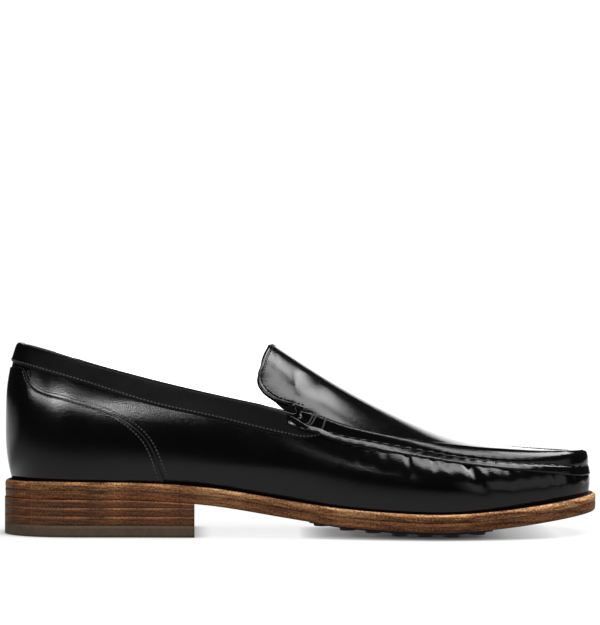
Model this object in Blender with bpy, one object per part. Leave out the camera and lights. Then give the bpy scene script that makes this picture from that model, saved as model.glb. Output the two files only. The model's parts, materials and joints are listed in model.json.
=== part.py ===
"""Slip-on apron loafer for the right foot, empty, standing on its heel and forefoot.

Toe towards +X, outer side of the foot towards -Y, +Z up. The origin is on the floor, in the middle
of the sole's length and width. Sizes below are millimetres; meshes are made in metres.
"""

import math
from collections import namedtuple

import bmesh
import bpy
from mathutils import Matrix, Vector

MM = 0.001

# Driving sizes of the shoe.
LENGTH = 300.0           # outsole, back of the heel to tip of the toe
HEEL_X = -LENGTH / 2
TOE_X = LENGTH / 2
GAP = 0.3                # clearance left between pieces that meet
WALL = 2.0               # upper leather with its lining
OVERLAY = 1.0            # leather of the collar band and the heel counter
WELT = 4.1               # upper, light layer of the sole edge
OUTSOLE = 4.3            # lower layer of the sole edge
INSOLE = 3.0
BREAST_X = -52.0         # front face of the heel at the outer side
BREAST_IN_X = -55.5      # and at the inner side
LIFT_TOPS = (5.5, 10.0, 14.3)   # tops of the rubber top piece and of the two flat leather lifts
PAD_SHARE = 0.35         # part of the tread's depth that is its pad, the rest is studs
STUD_RADIUS = 4.6
STUD_PITCH = 14.5
TREAD_START, TREAD_END = 0.51, 0.82    # shares of the length the rubber covers
TREAD_INSET = 8.0        # the rubber stays this far inside the sole edge
Tread = namedtuple("Tread", "x depth")
TREAD = [
    Tread(3.0, 2.0), Tread(40.0, 3.1), Tread(60.0, 3.4), Tread(84.0, 3.4), Tread(98.0, 2.6),
]
FLAT_SPOT = 0.4          # studs this close to the floor are worn flat onto it

# Roundness of the outlines, as shares of the length and powers of a superellipse.
HEEL_ROUND, HEEL_POWER = 0.125, 2.25
TOE_ROUND, TOE_POWER = 0.16, 2.6

# The wall of the last swells from the feather edge to its belly, then leans in to the rim.
BELLY = 0.36
FOOT_POWER = 2.3

# Sections along the last. Half widths are from the long axis, out (outer side) and in (inner side).
# The rim is the topline behind the throat and the edge of the apron in front of it, a little lower on
# the inner side. The band line is the lower edge of the collar band behind the throat and of the apron
# seam in front of it.
Section = namedtuple(
    "Section",
    "share sole_out sole_in belly_out belly_in rim_out rim_in seat_z band_z rim_z rim_drop_in lean_power",
)
SECTIONS = [
    Section(0.00, 32.0, 32.0, 30.6, 30.6, 21.6, 22.6, 27.2, 86.5, 96.0, 0.0, 3.0),
    Section(0.12, 33.5, 33.0, 32.0, 31.5, 22.6, 24.4, 27.2, 76.5, 86.8, 1.4, 2.0),
    Section(0.25, 34.0, 32.5, 33.0, 31.8, 26.0, 26.6, 26.6, 65.0, 77.1, 2.2, 2.0),
    Section(0.36, 35.5, 30.0, 34.7, 31.6, 29.8, 28.4, 24.2, 58.2, 69.9, 2.5, 2.2),
    Section(0.46, 38.5, 28.0, 37.6, 31.8, 31.6, 29.6, 19.5, 51.3, 63.7, 2.5, 2.0),
    Section(0.56, 44.0, 32.5, 42.3, 34.4, 33.0, 31.2, 15.1, 48.0, 55.8, 2.0, 2.0),
    Section(0.66, 49.5, 42.5, 47.3, 41.5, 35.0, 33.8, 12.9, 42.2, 49.2, 1.0, 2.0),
    Section(0.74, 52.0, 49.0, 49.8, 47.0, 36.0, 35.6, 12.4, 38.6, 44.6, 0.4, 2.0),
    Section(0.82, 48.8, 49.0, 46.8, 47.0, 35.4, 36.0, 13.8, 35.8, 42.2, 0.0, 2.0),
    Section(0.90, 42.5, 44.0, 40.8, 42.2, 33.4, 34.4, 16.5, 32.7, 40.8, 0.0, 1.8),
    Section(1.00, 37.0, 38.5, 35.5, 37.0, 30.6, 31.8, 20.8, 29.6, 39.8, 0.0, 1.3),
]

# How far each level of the last stops short of the sole at the heel and at the toe, and how far its
# sides lie inside the sole's where the table doesn't say.
Ends = namedtuple("Ends", "heel_inset toe_inset")
LEVEL_ENDS = {
    "sole": Ends(0.0, 0.0),
    "foot": Ends(4.4, 3.8),
    "belly": Ends(1.3, 3.0),
    "rim": Ends(6.9, 6.4),
}
FOOT_INSET_OUT, FOOT_INSET_IN = 3.6, 3.0

# Height of the apron and tongue along the middle of the foot.
Crest = namedtuple("Crest", "x z")
INSTEP = [
    Crest(-26.0, 103.2), Crest(-12.0, 94.3), Crest(18.0, 75.4), Crest(48.0, 59.8), Crest(72.0, 49.9),
    Crest(96.0, 44.4), Crest(120.0, 41.6), Crest(150.0, 39.9),
]
ARCH_POWER = 2.4         # section of the apron: 2 is a parabola, more is flatter on top
THROAT = 0.4936          # share at which the tongue leaves the sides of the opening
BAND_SHORT = 0.003       # the collar band stops this share short of the throat, where the seam begins
TONGUE_REACH = 12.2      # from the throat back to the tongue's edge at its middle
TONGUE_SWEEP = 7.4       # how much further back its corners reach
# Share of the tongue's half width lost at its end, and on its outer side just behind the throat.
TONGUE_NARROW_OUT, TONGUE_NARROW_IN = 0.18, 0.19
TONGUE_NOTCH = 0.075

# Front edge of the heel counter on the sides of the foot.
Edge = namedtuple("Edge", "z x")
COUNTER_EDGE = [
    Edge(20.0, -67.0), Edge(33.0, -69.0), Edge(48.0, -75.4), Edge(59.0, -88.8), Edge(66.3, -108.8),
    Edge(71.0, -127.5), Edge(76.0, -136.5), Edge(88.0, -139.5),
]
COUNTER_SHARE = 0.3      # the layer it is cut from reaches this far forward

# Section of the raised apron seam, from its lip on the vamp up to its crown on the rim: share of the
# way from the band line to the rim, and how far it stands out of the upper.
Fold = namedtuple("Fold", "rise relief")
SEAM_FOLDS = [
    Fold(0.00, 0.8), Fold(0.05, 1.5), Fold(0.36, 1.5), Fold(0.44, 0.9), Fold(0.55, 1.4), Fold(0.80, 1.6),
]
SEAM_CROWN = 1.5
SEAM_ON_APRON = 2.6      # width of the seam's strip that lies on the apron
SEAM_EDGE = 0.8          # how far its inner edge stands above the apron
APRON_CENTRE_X = 108.0   # the toe of the apron is round about this point

# Grid of the upper: columns around it and rows up it.
SIDE_COLUMNS, TOE_COLUMNS, QUARTER_COLUMNS, HEEL_COLUMNS = 16, 16, 13, 20
LOW_ROWS, BAND_ROWS = 6, 3
TONGUE_ROWS = (1.0, 0.75, 0.5, 0.28, 0.07)     # from its edge towards the throat
TOE_CORNER = 0.955       # share at which the side of the apron turns into its front
HEEL_CORNER = 0.12

Look = namedtuple("Look", "colour roughness")
POLISHED_LEATHER = Look((0.006, 0.006, 0.006), 0.22)
SOCK_LEATHER = Look((0.02, 0.017, 0.015), 0.55)
WELT_LEATHER = Look((0.32, 0.16, 0.06), 0.45)
SOLE_LEATHER = Look((0.24, 0.115, 0.045), 0.5)
LIFT_LEATHER = Look((0.2, 0.095, 0.04), 0.5)
HEEL_RUBBER = Look((0.095, 0.078, 0.055), 0.7)
TREAD_RUBBER = Look((0.012, 0.012, 0.012), 0.75)


def on_curve(points, values, at):
    """The value at a place on a smooth curve through a table's rows."""
    last = len(points) - 1
    at = min(max(at, points[0]), points[last])
    i = max(k for k in range(last) if points[k] <= at)

    def slope(k):
        low, high = max(k - 1, 0), min(k + 1, last)
        return (values[high] - values[low]) / (points[high] - points[low])

    step = points[i + 1] - points[i]
    t = (at - points[i]) / step
    start, end = values[i], values[i + 1]
    return (
        start * (1 + 2 * t) * (1 - t) ** 2 + end * t * t * (3 - 2 * t)
        + slope(i) * step * t * (1 - t) ** 2 - slope(i + 1) * step * t * t * (1 - t)
    )


def section(column, share):
    return on_curve([s.share for s in SECTIONS], [getattr(s, column) for s in SECTIONS], share)


def share_of(x):
    return (x - HEEL_X) / LENGTH


def seat_height(x):
    """Top of the welt, which the upper and the insole stand on."""
    return section("seat_z", share_of(x))


def sole_underside(x):
    return seat_height(x) - WELT - GAP - OUTSOLE


def end_round(share):
    """How much of its half width an outline has left near the heel and the toe."""
    if share < HEEL_ROUND:
        return max(0.0, 1 - (1 - share / HEEL_ROUND) ** HEEL_POWER) ** (1 / HEEL_POWER)
    if share > 1 - TOE_ROUND:
        return max(0.0, 1 - ((share - 1 + TOE_ROUND) / TOE_ROUND) ** TOE_POWER) ** (1 / TOE_POWER)
    return 1.0


def half_width(level, side, share):
    if level == "foot":
        inset = FOOT_INSET_OUT if side == "out" else FOOT_INSET_IN
        return section(f"sole_{side}", share) - inset
    return section(f"{level}_{side}", share)


def plan(level, side, share):
    """Point of one level of the last seen from above: the sole, the feather edge, the belly or the rim."""
    heel, toe = HEEL_X + LEVEL_ENDS[level].heel_inset, TOE_X - LEVEL_ENDS[level].toe_inset
    y = half_width(level, side, share) * end_round(share)
    return Vector((heel + (toe - heel) * share, -y if side == "out" else y))


def rim_height(side, share):
    drop = section("rim_drop_in", share) if side == "in" else 0.0
    return section("rim_z", share) - drop


def band_rise(share):
    """How far up the wall the lower edge of the collar band or of the apron seam runs."""
    low = section("seat_z", share) + GAP
    return (section("band_z", share) - low) / (section("rim_z", share) - low)


def wall(side, share, rise):
    """Point on the outside of the upper's wall. Rise runs from 0 at the feather edge to 1 at the rim."""
    foot, belly, rim = (plan(level, side, share) for level in ("foot", "belly", "rim"))
    if rise < BELLY:
        flat = belly.lerp(foot, ((BELLY - rise) / BELLY) ** FOOT_POWER)
    else:
        flat = belly.lerp(rim, ((rise - BELLY) / (1 - BELLY)) ** section("lean_power", share))
    low = seat_height(foot.x) + GAP
    return Vector((flat.x, flat.y, low + (rim_height(side, share) - low) * rise))


def wall_past(side, share, rise):
    """Point on the wall at a share that may run past the heel or the toe, on round to the other side."""
    other = "in" if side == "out" else "out"
    if share < 0.0:
        return wall(other, -share, rise)
    if share > 1.0:
        return wall(other, 2.0 - share, rise)
    return wall(side, share, rise)


def wall_out(side, share, rise, relief):
    """Point that far outside the wall, square to it."""
    small = 0.004
    up = wall(side, share, min(rise + small, 1.0)) - wall(side, share, max(rise - small, 0.0))
    along = wall_past(side, share + small, rise) - wall_past(side, share - small, rise)
    normal = along.cross(up) if side == "out" else up.cross(along)
    return wall(side, share, rise) + normal.normalized() * relief


def apron_height(x, y):
    """Height of the apron, and of the tongue behind the throat, over a point of the plan."""
    throat_x = plan("rim", "out", THROAT).x
    heel, toe = HEEL_X + LEVEL_ENDS["rim"].heel_inset, TOE_X - LEVEL_ENDS["rim"].toe_inset
    share = min((max(x, throat_x) - heel) / (toe - heel), 1.0)
    outer, inner = (section(f"rim_{side}", share) * end_round(share) for side in ("out", "in"))
    half = outer if y < 0 else inner
    across = min(abs(y) / half, 1.0) if half > 0 else 1.0
    lean = min(max((y + outer) / (outer + inner), 0.0), 1.0) if half > 0 else 0.5
    edge = rim_height("out", share) * (1 - lean) + rim_height("in", share) * lean
    crest = on_curve([c.x for c in INSTEP], [c.z for c in INSTEP], x)
    return edge + (crest - edge) * (1 - across ** ARCH_POWER)


def apron_out(x, y, relief):
    """Point that far above the apron, square to it."""
    small = 0.2
    slope_x = (apron_height(x + small, y) - apron_height(x - small, y)) / (2 * small)
    slope_y = (apron_height(x, y + small) - apron_height(x, y - small)) / (2 * small)
    return Vector((x, y, apron_height(x, y))) + Vector((-slope_x, -slope_y, 1.0)).normalized() * relief


def tongue_point(back, across):
    """Point of the tongue. Back is 0 at the throat and 1 at its edge, across runs from -1 to 1."""
    corner = 1.15 * abs(across) ** 1.6 - 0.2 * abs(across) ** 6
    throat = plan("rim", "out" if across < 0 else "in", THROAT)
    x = throat.x - back * (TONGUE_REACH + TONGUE_SWEEP * corner)
    lost = TONGUE_NARROW_IN * back ** 1.5
    if across < 0:
        lost = TONGUE_NOTCH + (TONGUE_NARROW_OUT - TONGUE_NOTCH) * back ** 3 if back > 0 else 0.0
    y = across * abs(throat.y) * (1 - lost)
    return Vector((x, y, apron_height(x, y)))


def spread(side, start, end, count, level="belly"):
    """Shares from start to end, evenly spaced along an outline. The last one is left out."""
    fine = 400
    shares = [start + (end - start) * k / fine for k in range(fine + 1)]
    lengths = [0.0]
    for a, b in zip(shares, shares[1:]):
        lengths.append(lengths[-1] + (plan(level, side, b) - plan(level, side, a)).length)
    stations, k = [], 0
    for n in range(count):
        wanted = lengths[-1] * n / count
        while lengths[k + 1] < wanted:
            k += 1
        part = (wanted - lengths[k]) / (lengths[k + 1] - lengths[k])
        stations.append((side, shares[k] + (shares[k + 1] - shares[k]) * part))
    return stations


def front_stations():
    """Columns of the upper from the outer throat, round the toe, to the inner throat."""
    half = TOE_COLUMNS // 2
    outer = spread("out", THROAT, TOE_CORNER, SIDE_COLUMNS) + spread("out", TOE_CORNER, 1.0, half)
    inner = [("in", share) for _, share in reversed(outer)]
    return outer + [("out", 1.0)] + inner


def back_stations():
    """Columns of the upper from the inner throat, round the heel, to the outer throat."""
    half = HEEL_COLUMNS // 2
    inner = spread("in", THROAT, HEEL_CORNER, QUARTER_COLUMNS) + spread("in", HEEL_CORNER, 0.0, half)
    outer = [("out", share) for _, share in reversed(inner)]
    return inner + [("in", 0.0)] + outer


def in_place(point):
    """From the sizes above to metres, with the sole's width centred on the origin."""
    shift = (max(s.sole_out for s in SECTIONS) - max(s.sole_in for s in SECTIONS)) / 2
    return Vector((point.x, point.y + shift, point.z)) * MM


def material(name, look):
    made = bpy.data.materials.new(name)
    made.use_nodes = True
    shader = made.node_tree.nodes["Principled BSDF"]
    shader.inputs["Base Color"].default_value = (*look.colour, 1)
    shader.inputs["Roughness"].default_value = look.roughness
    shader.inputs["Metallic"].default_value = 0
    return made


def finish(name, mesh_builder, look, whole):
    """The object of one piece from its bmesh, with outward faces, smooth shading and a material."""
    bmesh.ops.recalc_face_normals(mesh_builder, faces=mesh_builder.faces)
    mesh = bpy.data.meshes.new(name)
    mesh_builder.to_mesh(mesh)
    mesh_builder.free()
    mesh.shade_smooth()
    mesh.set_sharp_from_angle(angle=math.radians(40))
    mesh.materials.append(material(name, look))
    piece = bpy.data.objects.new(name, mesh)
    bpy.context.scene.collection.objects.link(piece)
    piece.parent = whole
    return piece


def quads(bm, rows, closed=False):
    """Faces between neighbouring rows of vertices."""
    for low, high in zip(rows, rows[1:]):
        count = len(low) if closed else len(low) - 1
        for k in range(count):
            n = (k + 1) % len(low)
            bm.faces.new([low[k], low[n], high[n], high[k]])


def vertices(bm, points):
    return [bm.verts.new(in_place(p)) for p in points]


def upper(whole):
    """Vamp, quarters, apron and tongue: one skin, open underneath and at the top, with the wall inside it."""
    bm = bmesh.new()
    front, back = front_stations(), back_stations()
    ring = front[:-1] + back[:-1]
    rows = []
    for row in range(LOW_ROWS + BAND_ROWS + 1):
        points = []
        for side, share in ring:
            turn = band_rise(share)
            low, high = row / LOW_ROWS, (row - LOW_ROWS) / BAND_ROWS
            rise = turn * low if row <= LOW_ROWS else turn + (1 - turn) * high
            points.append(wall(side, share, rise))
        rows.append(vertices(bm, points))
    quads(bm, rows, closed=True)

    rim = rows[-1]
    seam = rim[: len(front)]
    outer_side = seam[: SIDE_COLUMNS + 1]
    inner_side = list(reversed(seam[SIDE_COLUMNS + TOE_COLUMNS:]))
    toe = seam[SIDE_COLUMNS: SIDE_COLUMNS + TOE_COLUMNS + 1]
    plan_of = {v: wall(*station, 1.0) for v, station in zip(rim, ring)}
    throat = [tongue_point(0.0, -1 + 2 * k / TOE_COLUMNS) for k in range(TOE_COLUMNS + 1)]

    apron = []
    for i in range(SIDE_COLUMNS):
        u = i / SIDE_COLUMNS
        left, right = plan_of[outer_side[i]], plan_of[inner_side[i]]
        points = []
        for k in range(1, TOE_COLUMNS):
            v = k / TOE_COLUMNS
            across = left.lerp(right, v)
            along = throat[k].lerp(plan_of[toe[k]], u)
            corners = throat[0].lerp(throat[-1], v).lerp(plan_of[toe[0]].lerp(plan_of[toe[-1]], v), u)
            flat = across + along - corners
            points.append(Vector((flat.x, flat.y, apron_height(flat.x, flat.y))))
        apron.append([outer_side[i], *vertices(bm, points), inner_side[i]])
    apron.append(toe)

    tongue = []
    for back in TONGUE_ROWS:
        points = [tongue_point(back, -1 + 2 * k / TOE_COLUMNS) for k in range(TOE_COLUMNS + 1)]
        tongue.append(vertices(bm, points))
    quads(bm, tongue + apron)

    piece = finish("upper", bm, POLISHED_LEATHER, whole)
    shell = piece.modifiers.new("wall", "SOLIDIFY")
    shell.thickness = WALL * MM
    shell.offset = -1
    shell.use_even_offset = True
    return piece


def cut(piece, tool, operation):
    """Boolean of a piece with a helper that doesn't show."""
    tool.hide_render = True
    tool.display_type = "WIRE"
    step = piece.modifiers.new(tool.name, "BOOLEAN")
    step.operation = operation
    step.solver = "EXACT"
    step.object = tool


def between(name, under, over, look, whole):
    """A strip or panel cut between two forms: two matching grids of points, closed round their edges."""
    bm = bmesh.new()
    inside = [vertices(bm, row) for row in under]
    outside = [vertices(bm, row) for row in over]
    quads(bm, inside)
    quads(bm, outside)
    for edge in (0, -1):
        quads(bm, [inside[edge], outside[edge]])
        quads(bm, [[row[edge] for row in inside], [row[edge] for row in outside]])
    return finish(name, bm, look, whole)


def collar_band(whole):
    """Folded band round the foot opening, from the outer throat round the heel to the inner throat."""
    ends = {side: (side, THROAT - BAND_SHORT) for side in ("in", "out")}
    stations = [ends["in"], *back_stations()[1:-1], ends["out"]]
    under, over = [], []
    for row in range(BAND_ROWS + 1):
        way = min(row / BAND_ROWS, 0.97)
        rises = [band_rise(share) + (1 - band_rise(share)) * way for _, share in stations]
        under.append([wall_out(*s, rise, GAP) for s, rise in zip(stations, rises)])
        over.append([wall_out(*s, rise, GAP + OVERLAY) for s, rise in zip(stations, rises)])
    return between("collar_band", under, over, POLISHED_LEATHER, whole)


def heel_counter(whole):
    """Panel round the back of the heel, narrowing to a strip under the collar band.

    It is a layer round the whole back of the upper, cut along its front edge by a block that runs
    through from side to side.
    """
    stations = [s for s in back_stations() if s[1] < COUNTER_SHARE]
    lows = [0.01] + [row / LOW_ROWS for row in range(1, LOW_ROWS)] + [0.965]
    under = [[wall_out(*s, band_rise(s[1]) * low, GAP) for s in stations] for low in lows]
    over = [[wall_out(*s, band_rise(s[1]) * low, GAP + OVERLAY) for s in stations] for low in lows]
    panel = between("heel_counter", under, over, POLISHED_LEATHER, whole)

    steps = 18
    bottom, top = COUNTER_EDGE[0].z, COUNTER_EDGE[-1].z
    heights = [bottom + (top - bottom) * k / steps for k in range(steps + 1)]
    edge = [(on_curve([e.z for e in COUNTER_EDGE], [e.x for e in COUNTER_EDGE], z), z) for z in heights]
    bm = bmesh.new()
    sides = []
    for y in (-60.0, 60.0):
        sides.append(vertices(bm, [Vector((x, y, z)) for x, z in edge + [(0.0, top), (0.0, bottom)]]))
        bm.faces.new(sides[-1])
    quads(bm, sides, closed=True)
    block = finish("counter_cut", bm, POLISHED_LEATHER, whole)
    cut(panel, block, "DIFFERENCE")


def inward(rim):
    """Direction in plan from a point of the apron's edge to the middle of the apron."""
    return Vector((min(rim.x, APRON_CENTRE_X) - rim.x, -rim.y, 0.0)).normalized()


def seam_crown(side, share, relief):
    """Point out of the corner between the wall and the apron, as far from the one as from the other."""
    rim = wall(side, share, 1.0)
    on_apron = rim + inward(rim)
    apron_normal = apron_out(on_apron.x, on_apron.y, 1.0) - apron_out(on_apron.x, on_apron.y, 0.0)
    wall_normal = wall_out(side, share, 1.0, 1.0) - rim
    middle = (apron_normal + wall_normal).normalized()
    return rim + middle * relief / middle.dot(wall_normal)


def seam_edge(side, share, relief):
    """Point over the apron where the strip of the seam ends, its width measured along the slope."""
    rim = wall(side, share, 1.0)
    step = inward(rim)
    fall = apron_height(rim.x + step.x, rim.y + step.y) - rim.z
    place = rim + step * SEAM_ON_APRON / math.hypot(1.0, fall)
    return apron_out(place.x, place.y, relief)


def apron_seam(whole):
    """Raised seam that joins the apron to the vamp: a lip, a groove for the thread and a rolled band."""
    stations = front_stations()
    under, over = [], []
    for fold in SEAM_FOLDS:
        rises = [band_rise(share) + (1 - band_rise(share)) * fold.rise for _, share in stations]
        under.append([wall_out(*s, rise, GAP) for s, rise in zip(stations, rises)])
        over.append([wall_out(*s, rise, fold.relief) for s, rise in zip(stations, rises)])
    for place, relief in ((seam_crown, SEAM_CROWN), (seam_edge, SEAM_EDGE)):
        under.append([place(*s, GAP) for s in stations])
        over.append([place(*s, relief) for s in stations])
    return between("apron_seam", under, over, POLISHED_LEATHER, whole)


def outline(level, start, end, count, inset=0.0, inner_end=None):
    """Closed outline between two shares: outer side from start to end, then back along the inner side."""
    shares = {
        side: [share for _, share in spread(side, start, stop, count, "sole")] + [stop]
        for side, stop in (("out", end), ("in", inner_end or end))
    }
    outer = [plan(level, "out", share) for share in shares["out"]]
    inner = [plan(level, "in", share) for share in reversed(shares["in"])]
    points = outer + [p for p in inner if (p - outer[0]).length > 1e-6 and (p - outer[-1]).length > 1e-6]
    moved = []
    for k, p in enumerate(points):
        before, after = points[k - 1], points[(k + 1) % len(points)]
        before = p if before.y * p.y < 0 else before    # a cut end runs straight across
        after = p if after.y * p.y < 0 else after
        along = after - before
        inwards = Vector((-along.y, along.x)).normalized()
        moved.append(p + inwards * inset)
    return moved


def slab(name, levels, look, whole, from_tip=True):
    """A layer under the foot: outlines stacked from bottom to top, each with the height of its points.

    Each cap runs across from one side of the outline to the other, so that it follows the heights.
    """
    bm = bmesh.new()
    loops = [vertices(bm, [Vector((p.x, p.y, height(p.x))) for p in points]) for points, height in levels]
    quads(bm, loops, closed=True)
    for loop in (loops[0], loops[-1]):
        if from_tip:
            pairs = [[loop[k], loop[-k]] for k in range(len(loop) // 2 + 1)]
        else:
            pairs = [[loop[k], loop[-k - 1]] for k in range(len(loop) // 2)]
        for near, far in zip(pairs, pairs[1:]):
            corners = [near[0], far[0], far[1], near[1]]
            bm.faces.new([v for i, v in enumerate(corners) if v not in corners[:i]])
    return finish(name, bm, look, whole)


def sole_layers(whole):
    """Insole inside the upper, then the welt and the outsole that make the sole edge."""
    columns = 38

    def ring(level, inset):
        return outline(level, 0.0, 1.0, columns, inset)

    def over_seat(rise):
        return lambda x: seat_height(x) + rise

    slab(
        "insole",
        [(ring("foot", WALL + 1.0), over_seat(GAP)), (ring("foot", WALL + 1.0), over_seat(GAP + INSOLE))],
        SOCK_LEATHER, whole,
    )
    slab(
        "welt",
        [
            (ring("sole", 0.3), over_seat(-WELT)), (ring("sole", 0.0), over_seat(-WELT + 0.5)),
            (ring("sole", 0.0), over_seat(-1.5)), (ring("sole", 0.5), over_seat(-0.5)),
            (ring("sole", 1.5), over_seat(0.0)),
        ],
        WELT_LEATHER, whole,
    )
    under_welt = -WELT - GAP
    slab(
        "outsole",
        [
            (ring("sole", 1.0), over_seat(under_welt - OUTSOLE)),
            (ring("sole", 0.2), over_seat(under_welt - OUTSOLE + 0.7)),
            (ring("sole", 0.0), over_seat(under_welt - 0.5)), (ring("sole", 0.3), over_seat(under_welt)),
        ],
        SOLE_LEATHER, whole,
    )


def heel_stack(whole):
    """Rubber top piece on the floor, two flat lifts, and a third that takes up the slope of the outsole."""
    columns = 18
    edge = outline("sole", 0.0, share_of(BREAST_X), columns, inner_end=share_of(BREAST_IN_X))

    def level(z):
        return lambda x: z

    def under_outsole(x):
        return sole_underside(x) - GAP

    top, second, third = LIFT_TOPS
    slab("top_piece", [(edge, level(0.0)), (edge, level(top))], HEEL_RUBBER, whole)
    slab("heel_lift_3", [(edge, level(top + GAP)), (edge, level(second))], LIFT_LEATHER, whole)
    slab("heel_lift_2", [(edge, level(second + GAP)), (edge, level(third))], LIFT_LEATHER, whole)
    slab("heel_lift_1", [(edge, level(third + GAP)), (edge, under_outsole)], LIFT_LEATHER, whole)


def forepart_tread(whole):
    """Rubber pad under the forefoot with rows of round studs, those at the ball flat on the floor."""
    edge = outline("sole", TREAD_START, TREAD_END, 16, TREAD_INSET)

    def pad_top(x):
        return sole_underside(x) - GAP

    def depth(x):
        return on_curve([t.x for t in TREAD], [t.depth for t in TREAD], x)

    def pad_under(x):
        return pad_top(x) - depth(x) * PAD_SHARE

    pad = slab("forepart_tread", [(edge, pad_under), (edge, pad_top)], TREAD_RUBBER, whole, from_tip=False)

    bm = bmesh.new()
    room = STUD_RADIUS + 2.0
    first, last = HEEL_X + LENGTH * TREAD_START + TREAD_INSET, HEEL_X + LENGTH * TREAD_END - TREAD_INSET
    rows = int((last - first) / (STUD_PITCH * math.sin(math.pi / 3))) + 1
    for row in range(rows):
        x = first + (last - first) * row / (rows - 1)
        out_y, in_y = (plan("sole", side, share_of(x)).y for side in ("out", "in"))
        low, high = out_y + TREAD_INSET + room, in_y - TREAD_INSET - room
        count = int((high - low) / STUD_PITCH) + (row % 2)
        for k in range(count):
            y = low + (high - low) * (k + 0.5) / count
            foot_z = pad_top(x) - depth(x)
            foot_z = 0.0 if foot_z < FLAT_SPOT else foot_z
            head_z = pad_under(x) + depth(x) * PAD_SHARE / 2
            centre = in_place(Vector((x, y, (foot_z + head_z) / 2)))
            bmesh.ops.create_cone(
                bm, cap_ends=True, segments=8, radius1=STUD_RADIUS * 0.85 * MM, radius2=STUD_RADIUS * MM,
                depth=(head_z - foot_z) * MM, matrix=Matrix.Translation(centre),
            )
    cut(pad, finish("studs", bm, TREAD_RUBBER, whole), "UNION")


def build():
    for old in list(bpy.data.objects):
        bpy.data.objects.remove(old)
    whole = bpy.data.objects.new("loafer", None)
    bpy.context.scene.collection.objects.link(whole)
    upper(whole)
    collar_band(whole)
    heel_counter(whole)
    apron_seam(whole)
    sole_layers(whole)
    heel_stack(whole)
    forepart_tread(whole)


build()
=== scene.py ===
"""Slip-on loafer for the right foot, empty, on a pale floor: the looks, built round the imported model."""
import json
import math
from collections import namedtuple

import bpy
from mathutils import Euler, Matrix, Vector, noise
from mathutils.bvhtree import BVHTree

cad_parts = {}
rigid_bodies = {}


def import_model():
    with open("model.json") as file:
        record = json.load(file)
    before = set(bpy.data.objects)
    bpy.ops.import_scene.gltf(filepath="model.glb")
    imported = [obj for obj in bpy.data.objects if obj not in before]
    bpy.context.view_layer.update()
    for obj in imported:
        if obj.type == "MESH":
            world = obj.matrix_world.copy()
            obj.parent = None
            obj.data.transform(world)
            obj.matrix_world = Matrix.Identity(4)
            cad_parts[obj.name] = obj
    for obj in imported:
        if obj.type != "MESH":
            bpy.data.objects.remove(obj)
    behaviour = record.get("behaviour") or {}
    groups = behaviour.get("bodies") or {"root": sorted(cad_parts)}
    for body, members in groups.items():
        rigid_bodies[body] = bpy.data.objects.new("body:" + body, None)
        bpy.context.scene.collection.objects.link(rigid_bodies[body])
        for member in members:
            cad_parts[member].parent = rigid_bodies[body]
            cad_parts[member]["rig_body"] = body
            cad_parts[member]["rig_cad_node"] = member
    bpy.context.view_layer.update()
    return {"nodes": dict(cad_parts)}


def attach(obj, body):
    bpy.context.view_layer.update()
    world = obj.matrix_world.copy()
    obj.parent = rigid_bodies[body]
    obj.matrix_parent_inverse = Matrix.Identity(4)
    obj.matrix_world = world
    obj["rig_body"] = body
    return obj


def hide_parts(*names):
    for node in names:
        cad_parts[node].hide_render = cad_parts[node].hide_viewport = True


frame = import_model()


# Upper. Vamp, quarters, apron and tongue of polished black calf over a lining, pulled over a last as one
# skin. It starts as a copy of its solid, is rounded by subdivision, and is puckered below the apron seam,
# where the vamp is gathered into the seam.
MM = 0.001
HEEL_CENTRE_X, TOE_CENTRE_X = -0.112, 0.100    # the shoe turns about these points at its ends
MIDLINE_Y = 0.0015
QUARTER_TURN = 0.060                           # run of a quarter turn round the heel or the toe
STRAIGHT = TOE_CENTRE_X - HEEL_CENTRE_X
HALF_RUN = 2 * QUARTER_TURN + STRAIGHT         # from the back of the heel to the tip of the toe


def select_only(piece):
    bpy.ops.object.select_all(action="DESELECT")
    piece.select_set(True)
    bpy.context.view_layer.objects.active = piece


def copy_of_solid(node, name):
    """A copy of a solid to shape further, its loose triangles merged into quads."""
    select_only(frame["nodes"][node])
    bpy.ops.object.duplicate()
    piece = bpy.context.object
    piece.name = piece.data.name = name
    piece.parent = None
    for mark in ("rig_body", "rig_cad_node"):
        del piece[mark]
    piece.data.materials.clear()
    bpy.ops.mesh.customdata_custom_splitnormals_clear()
    bpy.ops.object.mode_set(mode="EDIT")
    bpy.ops.mesh.select_all(action="SELECT")
    bpy.ops.mesh.remove_doubles(threshold=0.01 * MM)
    bpy.ops.mesh.tris_convert_to_quads(face_threshold=math.radians(60), shape_threshold=math.radians(80))
    bpy.ops.object.mode_set(mode="OBJECT")
    bpy.ops.object.shade_smooth()
    return piece


def crease_sharp_edges(piece, angle, crease):
    select_only(piece)
    bpy.ops.object.mode_set(mode="EDIT")
    bpy.ops.mesh.select_mode(type="EDGE")
    bpy.ops.mesh.select_all(action="DESELECT")
    bpy.ops.mesh.edges_select_sharp(sharpness=math.radians(angle))
    bpy.ops.transform.edge_crease(value=crease)
    bpy.ops.object.mode_set(mode="OBJECT")


def apply_modifier(piece, kind, **settings):
    select_only(piece)
    step = piece.modifiers.new(kind.lower(), kind)
    for key, value in settings.items():
        setattr(step, key, value)
    bpy.ops.object.modifier_apply(modifier=step.name)


def round_off(piece, levels):
    """Subdivide a piece. Its cage is first pushed out, so that the round skin passes through its points."""
    wanted = [v.co.copy() for v in piece.data.vertices]
    step = piece.modifiers.new("round_off", "SUBSURF")
    step.levels = step.render_levels = levels
    for _ in range(4):
        glow_with_painted_shadow = piece.evaluated_get(bpy.context.evaluated_depsgraph_get()).data
        cage = [v.co + place - glow_with_painted_shadow.vertices[v.index].co for v, place in zip(piece.data.vertices, wanted)]
        for v, place in zip(piece.data.vertices, cage):
            v.co = place
        piece.data.update()
    select_only(piece)
    bpy.ops.object.modifier_apply(modifier=step.name)


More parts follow.
